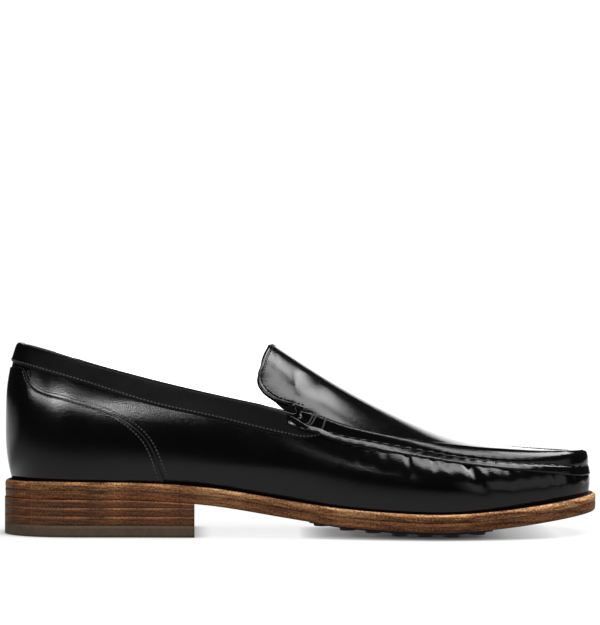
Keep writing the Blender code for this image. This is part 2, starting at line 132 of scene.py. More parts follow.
def tree_of(piece):
    mesh = piece.data
    return BVHTree.FromPolygons([v.co for v in mesh.vertices], [p.vertices for p in mesh.polygons])


def facing(run):
    """Centre and outward direction, seen from above, at a run round the shoe.

    Runs are 0 behind the heel. They grow forward along the outer side, and fall along the inner side.
    """
    side = -1 if run > 0 else 1
    way = abs(run)
    if way < QUARTER_TURN:
        turn = way / QUARTER_TURN * math.pi / 2
        return Vector((HEEL_CENTRE_X, MIDLINE_Y, 0)), Vector((-math.cos(turn), side * math.sin(turn), 0))
    if way < QUARTER_TURN + STRAIGHT:
        return Vector((HEEL_CENTRE_X + way - QUARTER_TURN, MIDLINE_Y, 0)), Vector((0, side, 0))
    turn = (way - QUARTER_TURN - STRAIGHT) / QUARTER_TURN * math.pi / 2
    return Vector((TOE_CENTRE_X, MIDLINE_Y, 0)), Vector((math.sin(turn), side * math.cos(turn), 0))


def run_at(point):
    """The run at which a point stands."""
    off = point.y - MIDLINE_Y
    side = 1 if off < 0 else -1
    if point.x < HEEL_CENTRE_X:
        turn = math.atan2(abs(off), HEEL_CENTRE_X - point.x)
        return side * QUARTER_TURN * turn / (math.pi / 2)
    if point.x < TOE_CENTRE_X:
        return side * (QUARTER_TURN + point.x - HEEL_CENTRE_X)
    turn = math.atan2(point.x - TOE_CENTRE_X, abs(off))
    return side * (QUARTER_TURN + STRAIGHT + QUARTER_TURN * turn / (math.pi / 2))


def run_of_x(x):
    """The run on the outer side at a place along the shoe, in millimetres from its middle."""
    return QUARTER_TURN + x * MM - HEEL_CENTRE_X


def met(tree, run, height, inside=False):
    """Where a level line from outside to the middle of the shoe, or back out from it, meets a surface."""
    far = 0.2
    centre, out = facing(run)
    level = centre + Vector((0, 0, height))
    if inside:
        return tree.ray_cast(level, out, far)[0]
    return tree.ray_cast(level + out * far, -out, far)[0]


def last_met(hit, miss, meets):
    """Where a surface ends, between a place that meets it and one that doesn't."""
    for _ in range(8):
        middle = (hit + miss) / 2
        if meets(middle):
            hit = middle
        else:
            miss = middle
    return hit


def reach(tree, run):
    """Lowest and highest height at which a piece is met at a run."""
    step, start, count = 0.001, 0.001, 110
    heights = [start + step * k for k in range(count)]
    hits = [z for z in heights if met(tree, run, z)]
    if not hits:
        return reach(tree, run - math.copysign(step, run))
    ends = ((hits[0], hits[0] - step), (hits[-1], hits[-1] + step))
    return [last_met(hit, miss, lambda z: met(tree, run, z)) for hit, miss in ends]


seam_solid = tree_of(frame["nodes"]["apron_seam"])
throat_run = run_of_x(-1.0)
LIP_STATIONS = 60
BEFORE_TIP = 0.5 * MM
stations = [throat_run + (HALF_RUN - throat_run) * k / LIP_STATIONS for k in range(LIP_STATIONS + 1)]
lip_line = {}
for side in (1, -1):
    lip_line[side] = [reach(seam_solid, side * min(run, HALF_RUN - BEFORE_TIP))[0] for run in stations]


def lip_height(run):
    """Height of the lower edge of the apron seam."""
    heights = lip_line[1 if run > 0 else -1]
    place = (abs(run) - throat_run) / (HALF_RUN - throat_run) * LIP_STATIONS
    k = min(max(int(place), 0), LIP_STATIONS - 1)
    t = min(max(place - k, 0.0), 1.0)
    return heights[k] * (1 - t) + heights[k + 1] * t


def pick(piece, kinds, parts, wanted):
    """Open a piece in edit mode with only the wanted points or faces selected."""
    select_only(piece)
    bpy.context.tool_settings.mesh_select_mode = kinds
    bpy.ops.object.mode_set(mode="EDIT")
    bpy.ops.mesh.select_all(action="DESELECT")
    bpy.ops.object.mode_set(mode="OBJECT")
    for part in parts:
        part.select = wanted(part)
    bpy.ops.object.mode_set(mode="EDIT")


POINTS, FACES = (True, False, False), (False, False, True)
ROOT_BEHIND, ROOT_AHEAD = -0.011, 0.008          # the tongue's root, which is eased into the vamp
ROOT_ABOVE, ROOT_HALF_WIDTH = 0.069, 0.0255


def in_root(v):
    return ROOT_BEHIND < v.co.x < ROOT_AHEAD and v.co.z > ROOT_ABOVE and abs(v.co.y) < ROOT_HALF_WIDTH


upper = copy_of_solid("upper", "lasted_upper")
crease_sharp_edges(upper, 50, 0.6)
round_off(upper, 2)
pick(upper, POINTS, upper.data.vertices, in_root)
bpy.ops.mesh.vertices_smooth(factor=0.5, repeat=14)
bpy.ops.object.mode_set(mode="OBJECT")

AXIS_HEEL, AXIS_TOE = -0.105, 0.095              # ends of the line along the middle of the foot's room
AXIS_HEIGHT, AXIS_FALL = 0.039, 0.11             # its height at mid shoe, and its fall towards the toe
GATHERED_FROM = 0.012
GATHERED_ABOVE, GATHERED_BELOW = 0.004, 0.019    # of the lip's edge


def inside_of_shoe(point, normal):
    """Whether a face looks at the foot and not outwards."""
    x = min(max(point.x, AXIS_HEEL), AXIS_TOE)
    axis = Vector((x, MIDLINE_Y, AXIS_HEIGHT - AXIS_FALL * x))
    return normal.dot(point - axis) < 0


def gathered(point, normal):
    """Whether a face is in the part of the vamp that is gathered."""
    if point.x < GATHERED_FROM or inside_of_shoe(point, normal):
        return False
    below = lip_height(run_at(point)) - point.z
    return -GATHERED_ABOVE < below < GATHERED_BELOW


pick(upper, FACES, upper.data.polygons, lambda face: gathered(face.center, face.normal))
bpy.ops.mesh.subdivide(number_cuts=2, smoothness=0)
bpy.ops.object.mode_set(mode="OBJECT")

Pucker = namedtuple("Pucker", "x depth width length lean")
PUCKERS = [
    Pucker(20, 0.25, 2.6, 9, 0.1), Pucker(25.5, 0.40, 1.6, 12, 0.1), Pucker(33, 0.45, 2.2, 12, 0.0),
    Pucker(41, 0.50, 2.0, 12, 0.1), Pucker(52.6, 0.75, 1.4, 14, 0.1), Pucker(60, 0.25, 1.6, 9, 0.2),
    Pucker(65.2, 0.60, 1.5, 13, 0.2), Pucker(72, 0.30, 1.8, 9, 0.3), Pucker(82.5, 1.25, 2.3, 17, 0.5),
    Pucker(90, 0.30, 1.6, 10, 0.4), Pucker(101, 0.60, 2.8, 14, 0.3), Pucker(110, 0.35, 2.0, 12, 0.2),
    Pucker(118, 0.50, 2.0, 15, 0.1), Pucker(125, 0.40, 1.8, 14, 0.1), Pucker(134, 0.50, 2.0, 14, 0.0),
    Pucker(143, 0.40, 2.2, 12, 0.0), Pucker(152, 0.40, 2.2, 12, 0.0), Pucker(160, 0.35, 2.0, 10, 0.0),
]
INNER_SHIFT = 3.0                # the inner side's puckers stand this far from the outer side's
PUCKER_SPREAD = 0.06             # a pucker widens by this share with each millimetre below the lip
WAVE, WAVE_SIZE = 0.10, 32.0     # height and length of the slow waves all over the skin


def pucker_depth(run, below):
    """How far the vamp is drawn in at a run and a distance below the lip, in millimetres."""
    place = (abs(run) - run_of_x(0)) / MM + (INNER_SHIFT if run < 0 else 0)
    depth = 0.0
    for p in PUCKERS:
        fade = 1 - min(max(below, 0.0) / p.length, 1.0)
        off = (place - p.x - p.lean * below) / (p.width * (1 + PUCKER_SPREAD * max(below, 0.0)))
        depth += p.depth * math.exp(-off * off) * fade * fade * (3 - 2 * fade)
    return depth


OUTER_SIDE_Y = -0.010                            # the outer side lies beyond this
FULLNESS, FULL_AT = 1.3, -0.067                  # it is fuller here, between heel and vamp
FULL_BEHIND, FULL_AHEAD = 0.050, 0.120
FULL_FOOT, FULL_TOP = (0.024, 0.036), (0.080, 0.066)
FLARE, FLARE_BELOW = 0.9, math.radians(45)       # the tongue's outer edge turns out
FLARE_STARTS, FLARE_WHOLE, FLARE_ENDS = 0.010, -0.002, -0.024
QUARTER_TOP, QUARTER_TOP_X, QUARTER_FALL = 0.0635, -0.004, 0.28
TONGUE_AXIS_HEIGHT = 0.0645


def faded(value, none, whole):
    """0 at one value and 1 at another, with an easy start and end."""
    t = min(max((value - none) / (whole - none), 0.0), 1.0)
    return t * t * (3 - 2 * t)


def pushed_out(point):
    """How the outer side and the tongue's outer edge differ from the plain solid."""
    if point.y > OUTER_SIDE_Y:
        return Vector()
    off = min(abs(point.x - FULL_AT) / (FULL_BEHIND if point.x < FULL_AT else FULL_AHEAD), 1.0)
    full = FULLNESS * (1 + math.cos(math.pi * off)) / 2
    full = full * faded(point.z, *FULL_FOOT) * faded(point.z, *FULL_TOP)
    move = Vector((0, -full, 0))
    above_quarter = point.z > QUARTER_TOP - QUARTER_FALL * (point.x - QUARTER_TOP_X)
    if FLARE_ENDS < point.x < FLARE_STARTS and above_quarter:
        arm = Vector((0, point.y - MIDLINE_Y, point.z - TONGUE_AXIS_HEIGHT))
        turn = math.atan2(arm.z, -arm.y)
        share = min(max(1 - turn / FLARE_BELOW, 0.0), 1.0)
        move += arm.normalized() * FLARE * share * share * faded(point.x, FLARE_STARTS, FLARE_WHOLE)
    return move * MM


smooth_places, places = [], []
for v in upper.data.vertices:
    point, normal = v.co, v.normal
    smooth = point + normal * WAVE * noise.noise(point / (WAVE_SIZE * MM)) * MM + pushed_out(point)
    drawn_in = 0.0
    if gathered(point, normal):
        run = run_at(point)
        drawn_in = pucker_depth(run, (lip_height(run) - point.z) / MM) * MM
    smooth_places.append(smooth)
    places.extend(smooth - normal * drawn_in)
smooth_skin = BVHTree.FromPolygons(smooth_places, [face.vertices[:] for face in upper.data.polygons])
upper.data.vertices.foreach_set("co", places)
upper.data.update()


def put(tree, kind, settings=None, **inputs):
    """A shader node. An input that is a socket of another node is linked to it."""
    made = tree.nodes.new(kind)
    for key, value in (settings or {}).items():
        setattr(made, key, value)
    for key, value in inputs.items():
        socket = made.inputs[int(key[1:])] if key[0] == "_" else made.inputs[key.replace("_", " ")]
        if isinstance(value, bpy.types.NodeSocket):
            tree.links.new(value, socket)
        else:
            socket.default_value = value
    return made


def new_group(name, inputs, outputs):
    """A shader node group with named number sockets, and its two end nodes."""
    group = bpy.data.node_groups.new(name, "ShaderNodeTree")
    for label, value in inputs.items():
        socket = group.interface.new_socket(name=label, in_out="INPUT", socket_type="NodeSocketFloat")
        socket.default_value = value
    for label in outputs:
        group.interface.new_socket(name=label, in_out="OUTPUT", socket_type="NodeSocketFloat")
    return group, group.nodes.new("NodeGroupInput"), group.nodes.new("NodeGroupOutput")


def leather_grain_group():
    """Pores and fine creases of calf, and its cloudy finish, in the piece's own place."""
    group, given, result = new_group(
        "leather_grain", {"Pores": 1500.0, "Clouds": 60.0}, ("Height", "Clouds")
    )
    place = put(group, "ShaderNodeTexCoord").outputs["Object"]
    fine = put(group, "ShaderNodeTexNoise", Vector=place, Scale=given.outputs["Pores"], Detail=3.0)
    cells = put(group, "ShaderNodeTexVoronoi", {"feature": "SMOOTH_F1"}, Vector=place,
                Scale=given.outputs["Pores"], Smoothness=0.6)
    height = put(group, "ShaderNodeMath", {"operation": "ADD"}, _0=fine.outputs[0],
                 _1=cells.outputs["Distance"])
    clouds = put(group, "ShaderNodeTexNoise", Vector=place, Scale=given.outputs["Clouds"], Detail=4.0,
                 Roughness=0.6)
    group.links.new(height.outputs[0], result.inputs["Height"])
    group.links.new(clouds.outputs[0], result.inputs["Clouds"])
    return group


leather_grain = leather_grain_group()


def new_material(name):
    """A material, its node tree and its shader."""
    made = bpy.data.materials.new(name)
    made.use_nodes = True
    return made, made.node_tree, made.node_tree.nodes["Principled BSDF"]


def mixed(tree, factor, first, second, how="MIX"):
    """Two colours, or colour sockets, mixed by a factor."""
    made = put(tree, "ShaderNodeMix", {"data_type": "RGBA", "blend_type": how}, Factor=factor)
    for socket, colour in zip((s for s in made.inputs if s.type == "RGBA"), (first, second)):
        if isinstance(colour, bpy.types.NodeSocket):
            tree.links.new(colour, socket)
        else:
            socket.default_value = (*colour, 1)
    return next(s for s in made.outputs if s.type == "RGBA")


def finished_with(tree, shader, colour, gloss, bump):
    """Join a surface's colour, roughness and bump to its shader."""
    tree.links.new(colour, shader.inputs["Base Color"])
    tree.links.new(gloss.outputs[0], shader.inputs["Roughness"])
    tree.links.new(bump.outputs[0], shader.inputs["Normal"])


def leather(name, dark, light, smooth, rough, pores, grain, shine=0.5):
    """Dyed leather: colour and gloss drift between two values, over a fine grain."""
    made, tree, shader = new_material(name)
    hide = put(tree, "ShaderNodeGroup", {"node_tree": leather_grain}, Pores=pores)
    colour = mixed(tree, hide.outputs["Clouds"], dark, light)
    gloss = put(tree, "ShaderNodeMapRange", Value=hide.outputs["Clouds"], From_Min=0.3, From_Max=0.7,
                To_Min=smooth, To_Max=rough)
    bump = put(tree, "ShaderNodeBump", Strength=grain, Distance=0.15 * MM, Height=hide.outputs["Height"])
    finished_with(tree, shader, colour, gloss, bump)
    shader.inputs["Specular IOR Level"].default_value = shine
    return made


calf = leather("polished_calf", (0.0018, 0.0018, 0.0018), (0.0036, 0.0035, 0.0034), 0.09, 0.14, 1600.0, 0.22)
lining = leather("lining", (0.012, 0.011, 0.010), (0.024, 0.021, 0.019), 0.5, 0.65, 1200.0, 0.2)
upper.data.materials.append(calf)
upper.data.materials.append(lining)
for face in upper.data.polygons:
    face.material_index = 1 if inside_of_shoe(face.center, face.normal) else 0
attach(upper, "root")
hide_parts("upper")
skin = tree_of(upper)


# Heel counter. A panel of the same calf round the back of the heel, narrowing to a strip under the collar
# band, skived at its edge. It is laid on the upper as a grid of points and sewn on by two rows.
COUNTER_THICK = 0.75 * MM
Edge = namedtuple("Edge", "x z")
COUNTER_EDGE = [
    Edge(-67.0, 27.0), Edge(-67.6, 30.0), Edge(-69.0, 34.0), Edge(-71.5, 40.8), Edge(-75.4, 48.0),
    Edge(-81.4, 54.1), Edge(-88.8, 59.0), Edge(-98.6, 63.3), Edge(-108.8, 66.3), Edge(-118.0, 68.7),
    Edge(-127.5, 70.6), Edge(-134.6, 73.6), Edge(-138.6, 78.0), Edge(-140.6, 82.0),
]
HEEL_DEPTH = 36.0        # from the heel's centre back to its outline


def edge_run(x):
    """Run at which the outline of the heel or the side is that far along the shoe."""
    if x * MM >= HEEL_CENTRE_X:
        return run_of_x(x)
    turn = math.acos((HEEL_CENTRE_X / MM - x) / HEEL_DEPTH)
    return QUARTER_TURN * turn / (math.pi / 2)


def lengths_along(line):
    """How far along a line each of its points is."""
    lengths = [0.0]
    for a, b in zip(line, line[1:]):
        lengths.append(lengths[-1] + (b - a).length)
    return lengths


def smooth_line(points, count):
    """Evenly spaced points on a smooth line through some points."""
    fine = []
    steps, last = 12, len(points) - 1
    for k in range(last):
        before, a, b, after = points[max(k - 1, 0)], points[k], points[k + 1], points[min(k + 2, last)]
        for n in range(steps):
            t = n / steps
            fine.append(0.5 * (2 * a + (b - before) * t + (2 * before - 5 * a + 4 * b - after) * t * t
                               + (3 * a - before - 3 * b + after) * t ** 3))
    fine.append(points[-1])
    lengths = lengths_along(fine)
    even, k = [], 0
    for n in range(count):
        wanted = lengths[-1] * n / (count - 1)
        while k < len(lengths) - 2 and lengths[k + 1] < wanted:
            k += 1
        t = (wanted - lengths[k]) / max(lengths[k + 1] - lengths[k], 1e-9)
        even.append(fine[k].lerp(fine[k + 1], min(t, 1.0)))
    return even


def on_skin(tree, run, height):
    """Point of the skin at a run and height, or the nearest one where the skin ends above or below."""
    middle, step = 0.04, 0.0003
    while not met(tree, run, height):
        height += step if height < middle else -step
    return met(tree, run, height)


def raised(table, relief):
    """The points of a table lifted off the skin, square to it."""
    result = []
    for i, column in enumerate(table):
        before, after = table[max(i - 1, 0)], table[min(i + 1, len(table) - 1)]
        lifted = []
        for j, point in enumerate(column):
            along = after[j] - before[j]
            up = column[min(j + 1, len(column) - 1)] - column[max(j - 1, 0)]
            lifted.append(point + along.cross(up).normalized() * relief(i, j))
        result.append(lifted)
    return result


def laid_strip(name, table, dyed_rows=()):
    """A grid whose points are put at the places in a table of columns, each from its lower edge up."""
    columns, rows = len(table) - 1, len(table[0]) - 1
    bpy.ops.object.select_all(action="DESELECT")
    bpy.ops.mesh.primitive_grid_add(x_subdivisions=columns, y_subdivisions=rows, size=1)
    piece = bpy.context.object
    piece.name = piece.data.name = name
    for face in piece.data.polygons:
        face.material_index = 1 if int((face.center.y + 0.5) * rows) in dyed_rows else 0
    for v in piece.data.vertices:
        v.co = table[round((v.co.x + 0.5) * columns)][round((v.co.y + 0.5) * rows)]
    bpy.ops.object.shade_smooth()
    return piece


STRIP_TOP, STRIP_POINTS = 0.084, 5               # the strip behind the heel, and its points on each side
counter_front = [Vector((edge_run(e.x), e.z * MM)) for e in COUNTER_EDGE]
strip_top = []
for k in range(1, 2 * STRIP_POINTS):
    strip_top.append(Vector((counter_front[-1].x * (1 - k / STRIP_POINTS), STRIP_TOP)))
counter_rim = counter_front + strip_top + [Vector((-p.x, p.y)) for p in reversed(counter_front)]
COUNTER_COLUMNS = 170
top_line = list(reversed(smooth_line(counter_rim, COUNTER_COLUMNS + 1)))
foot_run, foot_height = counter_front[0].x - 0.0005, 0.0266
EDGE_STEPS = [1.6 * MM, 0.9 * MM, 0.45 * MM, 0.15 * MM, 0.0]     # rows this far inside the edge
EDGE_LIFT = [1.0, 0.97, 0.8, 0.35, -0.3]                         # and lifted by this share of the thickness
COUNTER_ROWS = 16
SHORTEST_COLUMN = 2.4 * MM


def counter_column(k):
    """Points of the skin from the counter's foot up to its edge."""
    top = top_line[k]
    foot = Vector((-foot_run + 2 * foot_run * k / COUNTER_COLUMNS, foot_height))
    length = max((top - foot).length, SHORTEST_COLUMN)
    inner = 1 - EDGE_STEPS[0] / length
    shares = [inner * n / COUNTER_ROWS for n in range(COUNTER_ROWS)] + [1 - s / length for s in EDGE_STEPS]
    return [on_skin(skin, *foot.lerp(top, share)) for share in shares]


counter_table = [counter_column(k) for k in range(COUNTER_COLUMNS + 1)]
counter_table = raised(
    counter_table, lambda i, j: COUNTER_THICK * (1.0 if j < COUNTER_ROWS else EDGE_LIFT[j - COUNTER_ROWS])
)
DYED_ROWS = (COUNTER_ROWS + 2, COUNTER_ROWS + 3)
counter = laid_strip("stitched_counter", counter_table, DYED_ROWS)
apply_modifier(counter, "SOLIDIFY", thickness=0.4 * MM, offset=-1)
edge_dye_and_painted_shade = leather("edge_dye_and_painted_shade", (0.0012, 0.0012, 0.0012), (0.003, 0.003, 0.003), 0.7, 0.85, 1500.0, 0.2)
counter.data.materials.append(calf)
counter.data.materials.append(edge_dye_and_painted_shade)
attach(counter, "root")
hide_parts("heel_counter")


# Thread of the counter. Black waxed thread, machine sewn in two rows, one on each side of the counter's
# edge. One stitch is shaped from a ball and copied along each row.
STITCH_PITCH = 1.85 * MM
THREAD = 0.7 * MM


def one_stitch(name, length, thickness):
    """A short length of thread that dips at both ends."""
    bluntness, dip = 0.8, 0.35
    bpy.ops.object.select_all(action="DESELECT")
    bpy.ops.mesh.primitive_uv_sphere_add(segments=6, ring_count=6, radius=1)
    piece = bpy.context.object
    piece.name = piece.data.name = name
    bpy.ops.object.mode_set(mode="EDIT")
    bpy.ops.mesh.select_all(action="SELECT")
    bpy.ops.transform.rotate(value=math.pi / 2, orient_axis="Y", center_override=(0, 0, 0))
    bpy.ops.transform.resize(value=(length / 2, thickness / 2, thickness / 2))
    bpy.ops.object.mode_set(mode="OBJECT")
    for v in piece.data.vertices:
        far = abs(v.co.x) / (length / 2)
        v.co.x = math.copysign(length / 2 * far ** bluntness, v.co.x)
        v.co.z -= thickness * dip * far ** 3
    bpy.ops.object.shade_smooth()
    return piece


def sew(name, stitch, path, pitch, lift=0.0, slant=0.0, yarn=None):
    """Copies of a stitch at even steps along a path of points and directions out, joined into one row."""
    copies = []
    travelled, due = 0.0, pitch / 2
    for (a, out_a), (b, out_b) in zip(path, path[1:]):
        step = (b - a).length
        while step > 0 and due <= travelled + step:
            t = (due - travelled) / step
            out = out_a.lerp(out_b, t).normalized()
            along = (b - a).normalized()
            across = out.cross(along).normalized()
            along = (along + across * slant).normalized()
            across = out.cross(along).normalized()
            place = Matrix((along, across, along.cross(across))).transposed().to_4x4()
            place.translation = a.lerp(b, t) + out * lift
            mesh = stitch.data.copy()
            mesh.transform(place)
            made = bpy.data.objects.new(name, mesh)
            bpy.context.collection.objects.link(made)
            copies.append(made)
            due += pitch
        travelled += step
    bpy.ops.object.select_all(action="DESELECT")
    for made in copies:
        made.select_set(True)
    bpy.context.view_layer.objects.active = copies[0]
    bpy.ops.object.join()
    row = bpy.context.object
    row.name = row.data.name = name
    row.data.materials.clear()
    row.data.materials.append(yarn or thread)
    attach(row, "root")


# The thread is black; its lighter grey colour here is a painted highlight.
thread = leather("waxed_thread_with_painted_highlight", (0.035, 0.035, 0.035), (0.085, 0.083, 0.080), 0.3, 0.4, 4000.0, 0.3)
machine_stitch = one_stitch("machine_stitch", STITCH_PITCH * 0.8, THREAD)


def flat_offset(line, distance):
    """A line of a flat drawing moved sideways."""
    moved = []
    for k, p in enumerate(line):
        along = (line[min(k + 1, len(line) - 1)] - line[max(k - 1, 0)]).normalized()
        moved.append(p + Vector((-along.y, along.x)) * distance(k / (len(line) - 1)))
    return moved


def skin_path(line, lift):
    """Points and directions out along a line drawn on the skin by run and height."""
    points = [on_skin(skin, run, height) for run, height in line]
    path = []
    for point in points:
        normal = skin.find_nearest(point)[1]
        path.append((point + normal * lift, normal))
    return path


StitchRow = namedtuple("StitchRow", "label side off closing lift")
# Side and distance from the counter's edge, what it loses towards the strip, and the height off the skin.
COUNTER_STITCHES = [StitchRow("a", 1, 2.7, 1.4, COUNTER_THICK), StitchRow("b", -1, 1.7, 0.6, 0.0)]
CLOSING_SHARE = 0.625            # the rows have closed in after this share of the edge
SIDES = ((1, "outer"), (-1, "inner"))
for side, label in SIDES:
    drawn = smooth_line([Vector((side * p.x, p.y)) for p in counter_front], 160)[2:]
    for row in COUNTER_STITCHES:
        line = flat_offset(
            drawn, lambda t: row.side * side * (row.off - row.closing * min(t / CLOSING_SHARE, 1.0)) * MM
        )
        sew(f"counter_stitches_{label}_{row.label}", machine_stitch, skin_path(line, row.lift), STITCH_PITCH)


# Collar band. A strip of matt black leather folded over the topline, its outside edge turned in and sewn.
# Its front ends run on under the lip of the apron seam. It is laid as a grid over the edge of the upper.
BAND_THICK = 0.95 * MM
BAND_END_X = 9.5
band_solid = tree_of(frame["nodes"]["collar_band"])
BandLow = namedtuple("BandLow", "x z")
BAND_FRONT = [
    BandLow(-24.0, 53.9), BandLow(-14.8, 51.6), BandLow(-7.0, 50.0), BandLow(0.0, 48.9), BandLow(5.0, 49.2),
    BandLow(9.5, 50.4),
]
BAND_COLUMNS = 190
band_end = run_of_x(BAND_END_X)
FRONT_STARTS = run_of_x(BAND_FRONT[0].x)
BAND_STOPS = run_of_x(-8.0)
BandRow = namedtuple("BandRow", "share lift")
OUTSIDE_ROWS = [
    BandRow(0.0, -0.3), BandRow(0.012, 0.35), BandRow(0.035, 0.8), BandRow(0.07, 0.97), BandRow(0.12, 1.0),
    BandRow(0.25, 0.97), BandRow(0.4, 0.97), BandRow(0.55, 0.97), BandRow(0.7, 0.97), BandRow(0.82, 0.95),
    BandRow(0.9, 0.9),
]
STITCHED_ROW = 4
BAND_DYED_ROWS = (0, 1)
INSIDE_DROPS = [1.2 * MM, 3.0 * MM, 6.0 * MM, 8.5 * MM, 9.0 * MM]
INSIDE_LIFT = [0.6, 0.6, 0.6, 0.55, -0.2]
FRONT_FALL = 0.62                          # slope of the band's top where it runs on under the lip
UNFOLDED, UNFOLDING = 0.004, 0.006         # the fold ends this far before the topline does, over this run
CREST_FOLDED, CREST_UNFOLDED = 0.55, -0.9  # top of the fold above the rim, in millimetres
SHOULDER_OUT, SHOULDER_DROP = 0.5, 0.45    # the fold's outer shoulder, from the rim and from the crest
INNER_OUT, INNER_DROP = 0.3 * MM, 0.55     # and its inner one
UNFOLDED_WIDTH = 0.4                       # share of the fold's width that is left where it is unfolded
RIM_SEARCH, WALL_SEARCH, USUAL_WALL = 0.4, 2.5, 2


def along_table(table, at, column):
    """The value of a table's column between its rows, on a smooth curve."""
    keys, values = [row[0] for row in table], [getattr(row, column) for row in table]
    last = len(keys) - 1
    if at <= keys[0] or at >= keys[last]:
        return values[0] if at <= keys[0] else values[last]
    k = next(n for n in range(last) if at <= keys[n + 1])

    def slope(n):
        before, after = max(n - 1, 0), min(n + 1, last)
        return (values[after] - values[before]) / (keys[after] - keys[before])

    width = keys[k + 1] - keys[k]
    t = (at - keys[k]) / width
    ends = (2 * t ** 3 - 3 * t * t + 1) * values[k] + (3 * t * t - 2 * t ** 3) * values[k + 1]
    return ends + width * ((t ** 3 - 2 * t * t + t) * slope(k) + (t ** 3 - t * t) * slope(k + 1))


def band_limits(run):
    """Heights of the band's lower edge and of the topline."""
    side = 1 if run > 0 else -1
    way = min(abs(run), BAND_STOPS)
    low, high = reach(band_solid, side * way)
    if abs(run) > FRONT_STARTS:
        x = (abs(run) - run_of_x(0)) / MM
        start = reach(band_solid, side * FRONT_STARTS)[0]
        low = along_table(BAND_FRONT, x, "z") * MM + start - BAND_FRONT[0].z * MM
    if abs(run) > BAND_STOPS:
        high -= (abs(run) - BAND_STOPS) * FRONT_FALL
    return low, high


def band_column(run):
    """Points of the skin up the outside of the band, and the band's own points over the fold and inside."""
    low, high = band_limits(run)
    outer = [on_skin(skin, run, low + (high - low) * row.share) for row in OUTSIDE_ROWS]
    _, out = facing(run)
    folded = min(max((BAND_STOPS - UNFOLDED - abs(run)) / UNFOLDING, 0.0), 1.0)
    rim = on_skin(skin, run, high + RIM_SEARCH * MM)
    inner = met(skin, run, rim.z - WALL_SEARCH * MM, inside=True) or rim - out * USUAL_WALL * MM
    width = (rim - inner).dot(out)
    crest = rim.z + (CREST_FOLDED * folded + CREST_UNFOLDED * (1 - folded)) * MM
    inner_off = (width + INNER_OUT) * (UNFOLDED_WIDTH + (1 - UNFOLDED_WIDTH) * folded)
    over = [
        rim + out * SHOULDER_OUT * MM * folded + Vector((0, 0, crest - rim.z - SHOULDER_DROP * MM)),
        rim - out * width * 0.5 + Vector((0, 0, crest - rim.z)),
        rim - out * inner_off + Vector((0, 0, crest - rim.z - INNER_DROP * MM)),
    ]
    lining_side = []
    for drop, lift in zip(INSIDE_DROPS, INSIDE_LIFT):
        wall = met(skin, run, rim.z - drop, inside=True) or inner
        place = wall - out * lift * MM
        buried = rim - out * 0.5 * width - Vector((0, 0, drop))
        lining_side.append(buried.lerp(place, folded))
    return outer, over + lining_side


band_runs = [-band_end + 2 * band_end * k / BAND_COLUMNS for k in range(BAND_COLUMNS + 1)]
band_parts = [band_column(run) for run in band_runs]
band_outside = raised([p[0] for p in band_parts], lambda i, j: BAND_THICK * OUTSIDE_ROWS[j].lift)
band_table = [outside + p[1] for outside, p in zip(band_outside, band_parts)]
band = laid_strip("collar_binding", band_table, BAND_DYED_ROWS)
apply_modifier(band, "SOLIDIFY", thickness=0.3 * MM, offset=-1)
apply_modifier(band, "SUBSURF", levels=1, render_levels=1)
matt_calf = leather(
    "matt_calf", (0.002, 0.002, 0.002), (0.0045, 0.0045, 0.0045), 0.34, 0.44, 1500.0, 0.4, shine=0.13
)
band.data.materials.append(matt_calf)
band.data.materials.append(edge_dye_and_painted_shade)
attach(band, "root")
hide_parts("collar_band")


def row_path(table, base, row):
    """Points and directions out along a row of a table of points lifted off the skin."""
    return [(column[row], (column[row] - under[row]).normalized()) for column, under in zip(table, base)]


collar_row = row_path(band_outside, [p[0] for p in band_parts], STITCHED_ROW)
sew("collar_stitches", machine_stitch, collar_row, STITCH_PITCH)


# Apron seam. The raised seam of a moccasin: the vamp's edge is turned out into a lip and whip stitched to
# a rolled band on the apron's edge. Section by section it is laid over the corner of the upper.
Seam = namedtuple("Seam", "run low groove top over slant roll")
# Heights of the lip's edge, the groove and the roll's top and the width on the apron, in millimetres, and
# how far the lip slants out and how thick the roll is, beside what is usual.
SEAM = [
    Seam(run_of_x(-8.0), 56.6, 61.6, 65.6, 1.7, 0.9, 1.0),
    Seam(run_of_x(-3.4), 54.6, 59.6, 64.0, 1.7, 0.9, 1.0),
    Seam(run_of_x(2.0), 52.6, 56.0, 62.8, 1.7, 1.0, 1.0),
    Seam(run_of_x(8.8), 50.7, 53.8, 60.6, 1.7, 1.0, 1.0),
    Seam(run_of_x(14.0), 48.8, 51.9, 58.7, 1.7, 1.0, 1.0),
    Seam(run_of_x(22.0), 46.4, 49.8, 56.0, 1.5, 1.0, 1.0),
    Seam(run_of_x(35.0), 43.7, 47.5, 52.8, 1.3, 1.0, 1.0),
    Seam(run_of_x(48.8), 41.4, 45.1, 50.0, 1.2, 1.0, 1.0),
    Seam(run_of_x(63.4), 39.2, 42.6, 47.6, 1.4, 1.0, 1.0),
    Seam(run_of_x(74.7), 37.3, 40.5, 46.2, 1.6, 1.0, 1.0),
    Seam(run_of_x(91.3), 35.2, 38.2, 44.5, 1.8, 0.95, 1.0),
    Seam(0.2793, 33.4, 36.5, 43.5, 2.0, 0.8, 1.0),
    Seam(0.2963, 31.5, 35.5, 42.7, 2.0, 0.6, 1.05),
    Seam(0.3107, 29.9, 34.5, 42.0, 2.0, 0.4, 1.15),
    Seam(HALF_RUN, 29.6, 34.2, 41.8, 2.0, 0.25, 1.25),
]
INNER_ROLL = 0.25              # the roll is flatter on the inner side
CORNER_UNDER = 1.8 * MM        # from the roll's top down to the corner of the upper
Fold = namedtuple("Fold", "place relief")
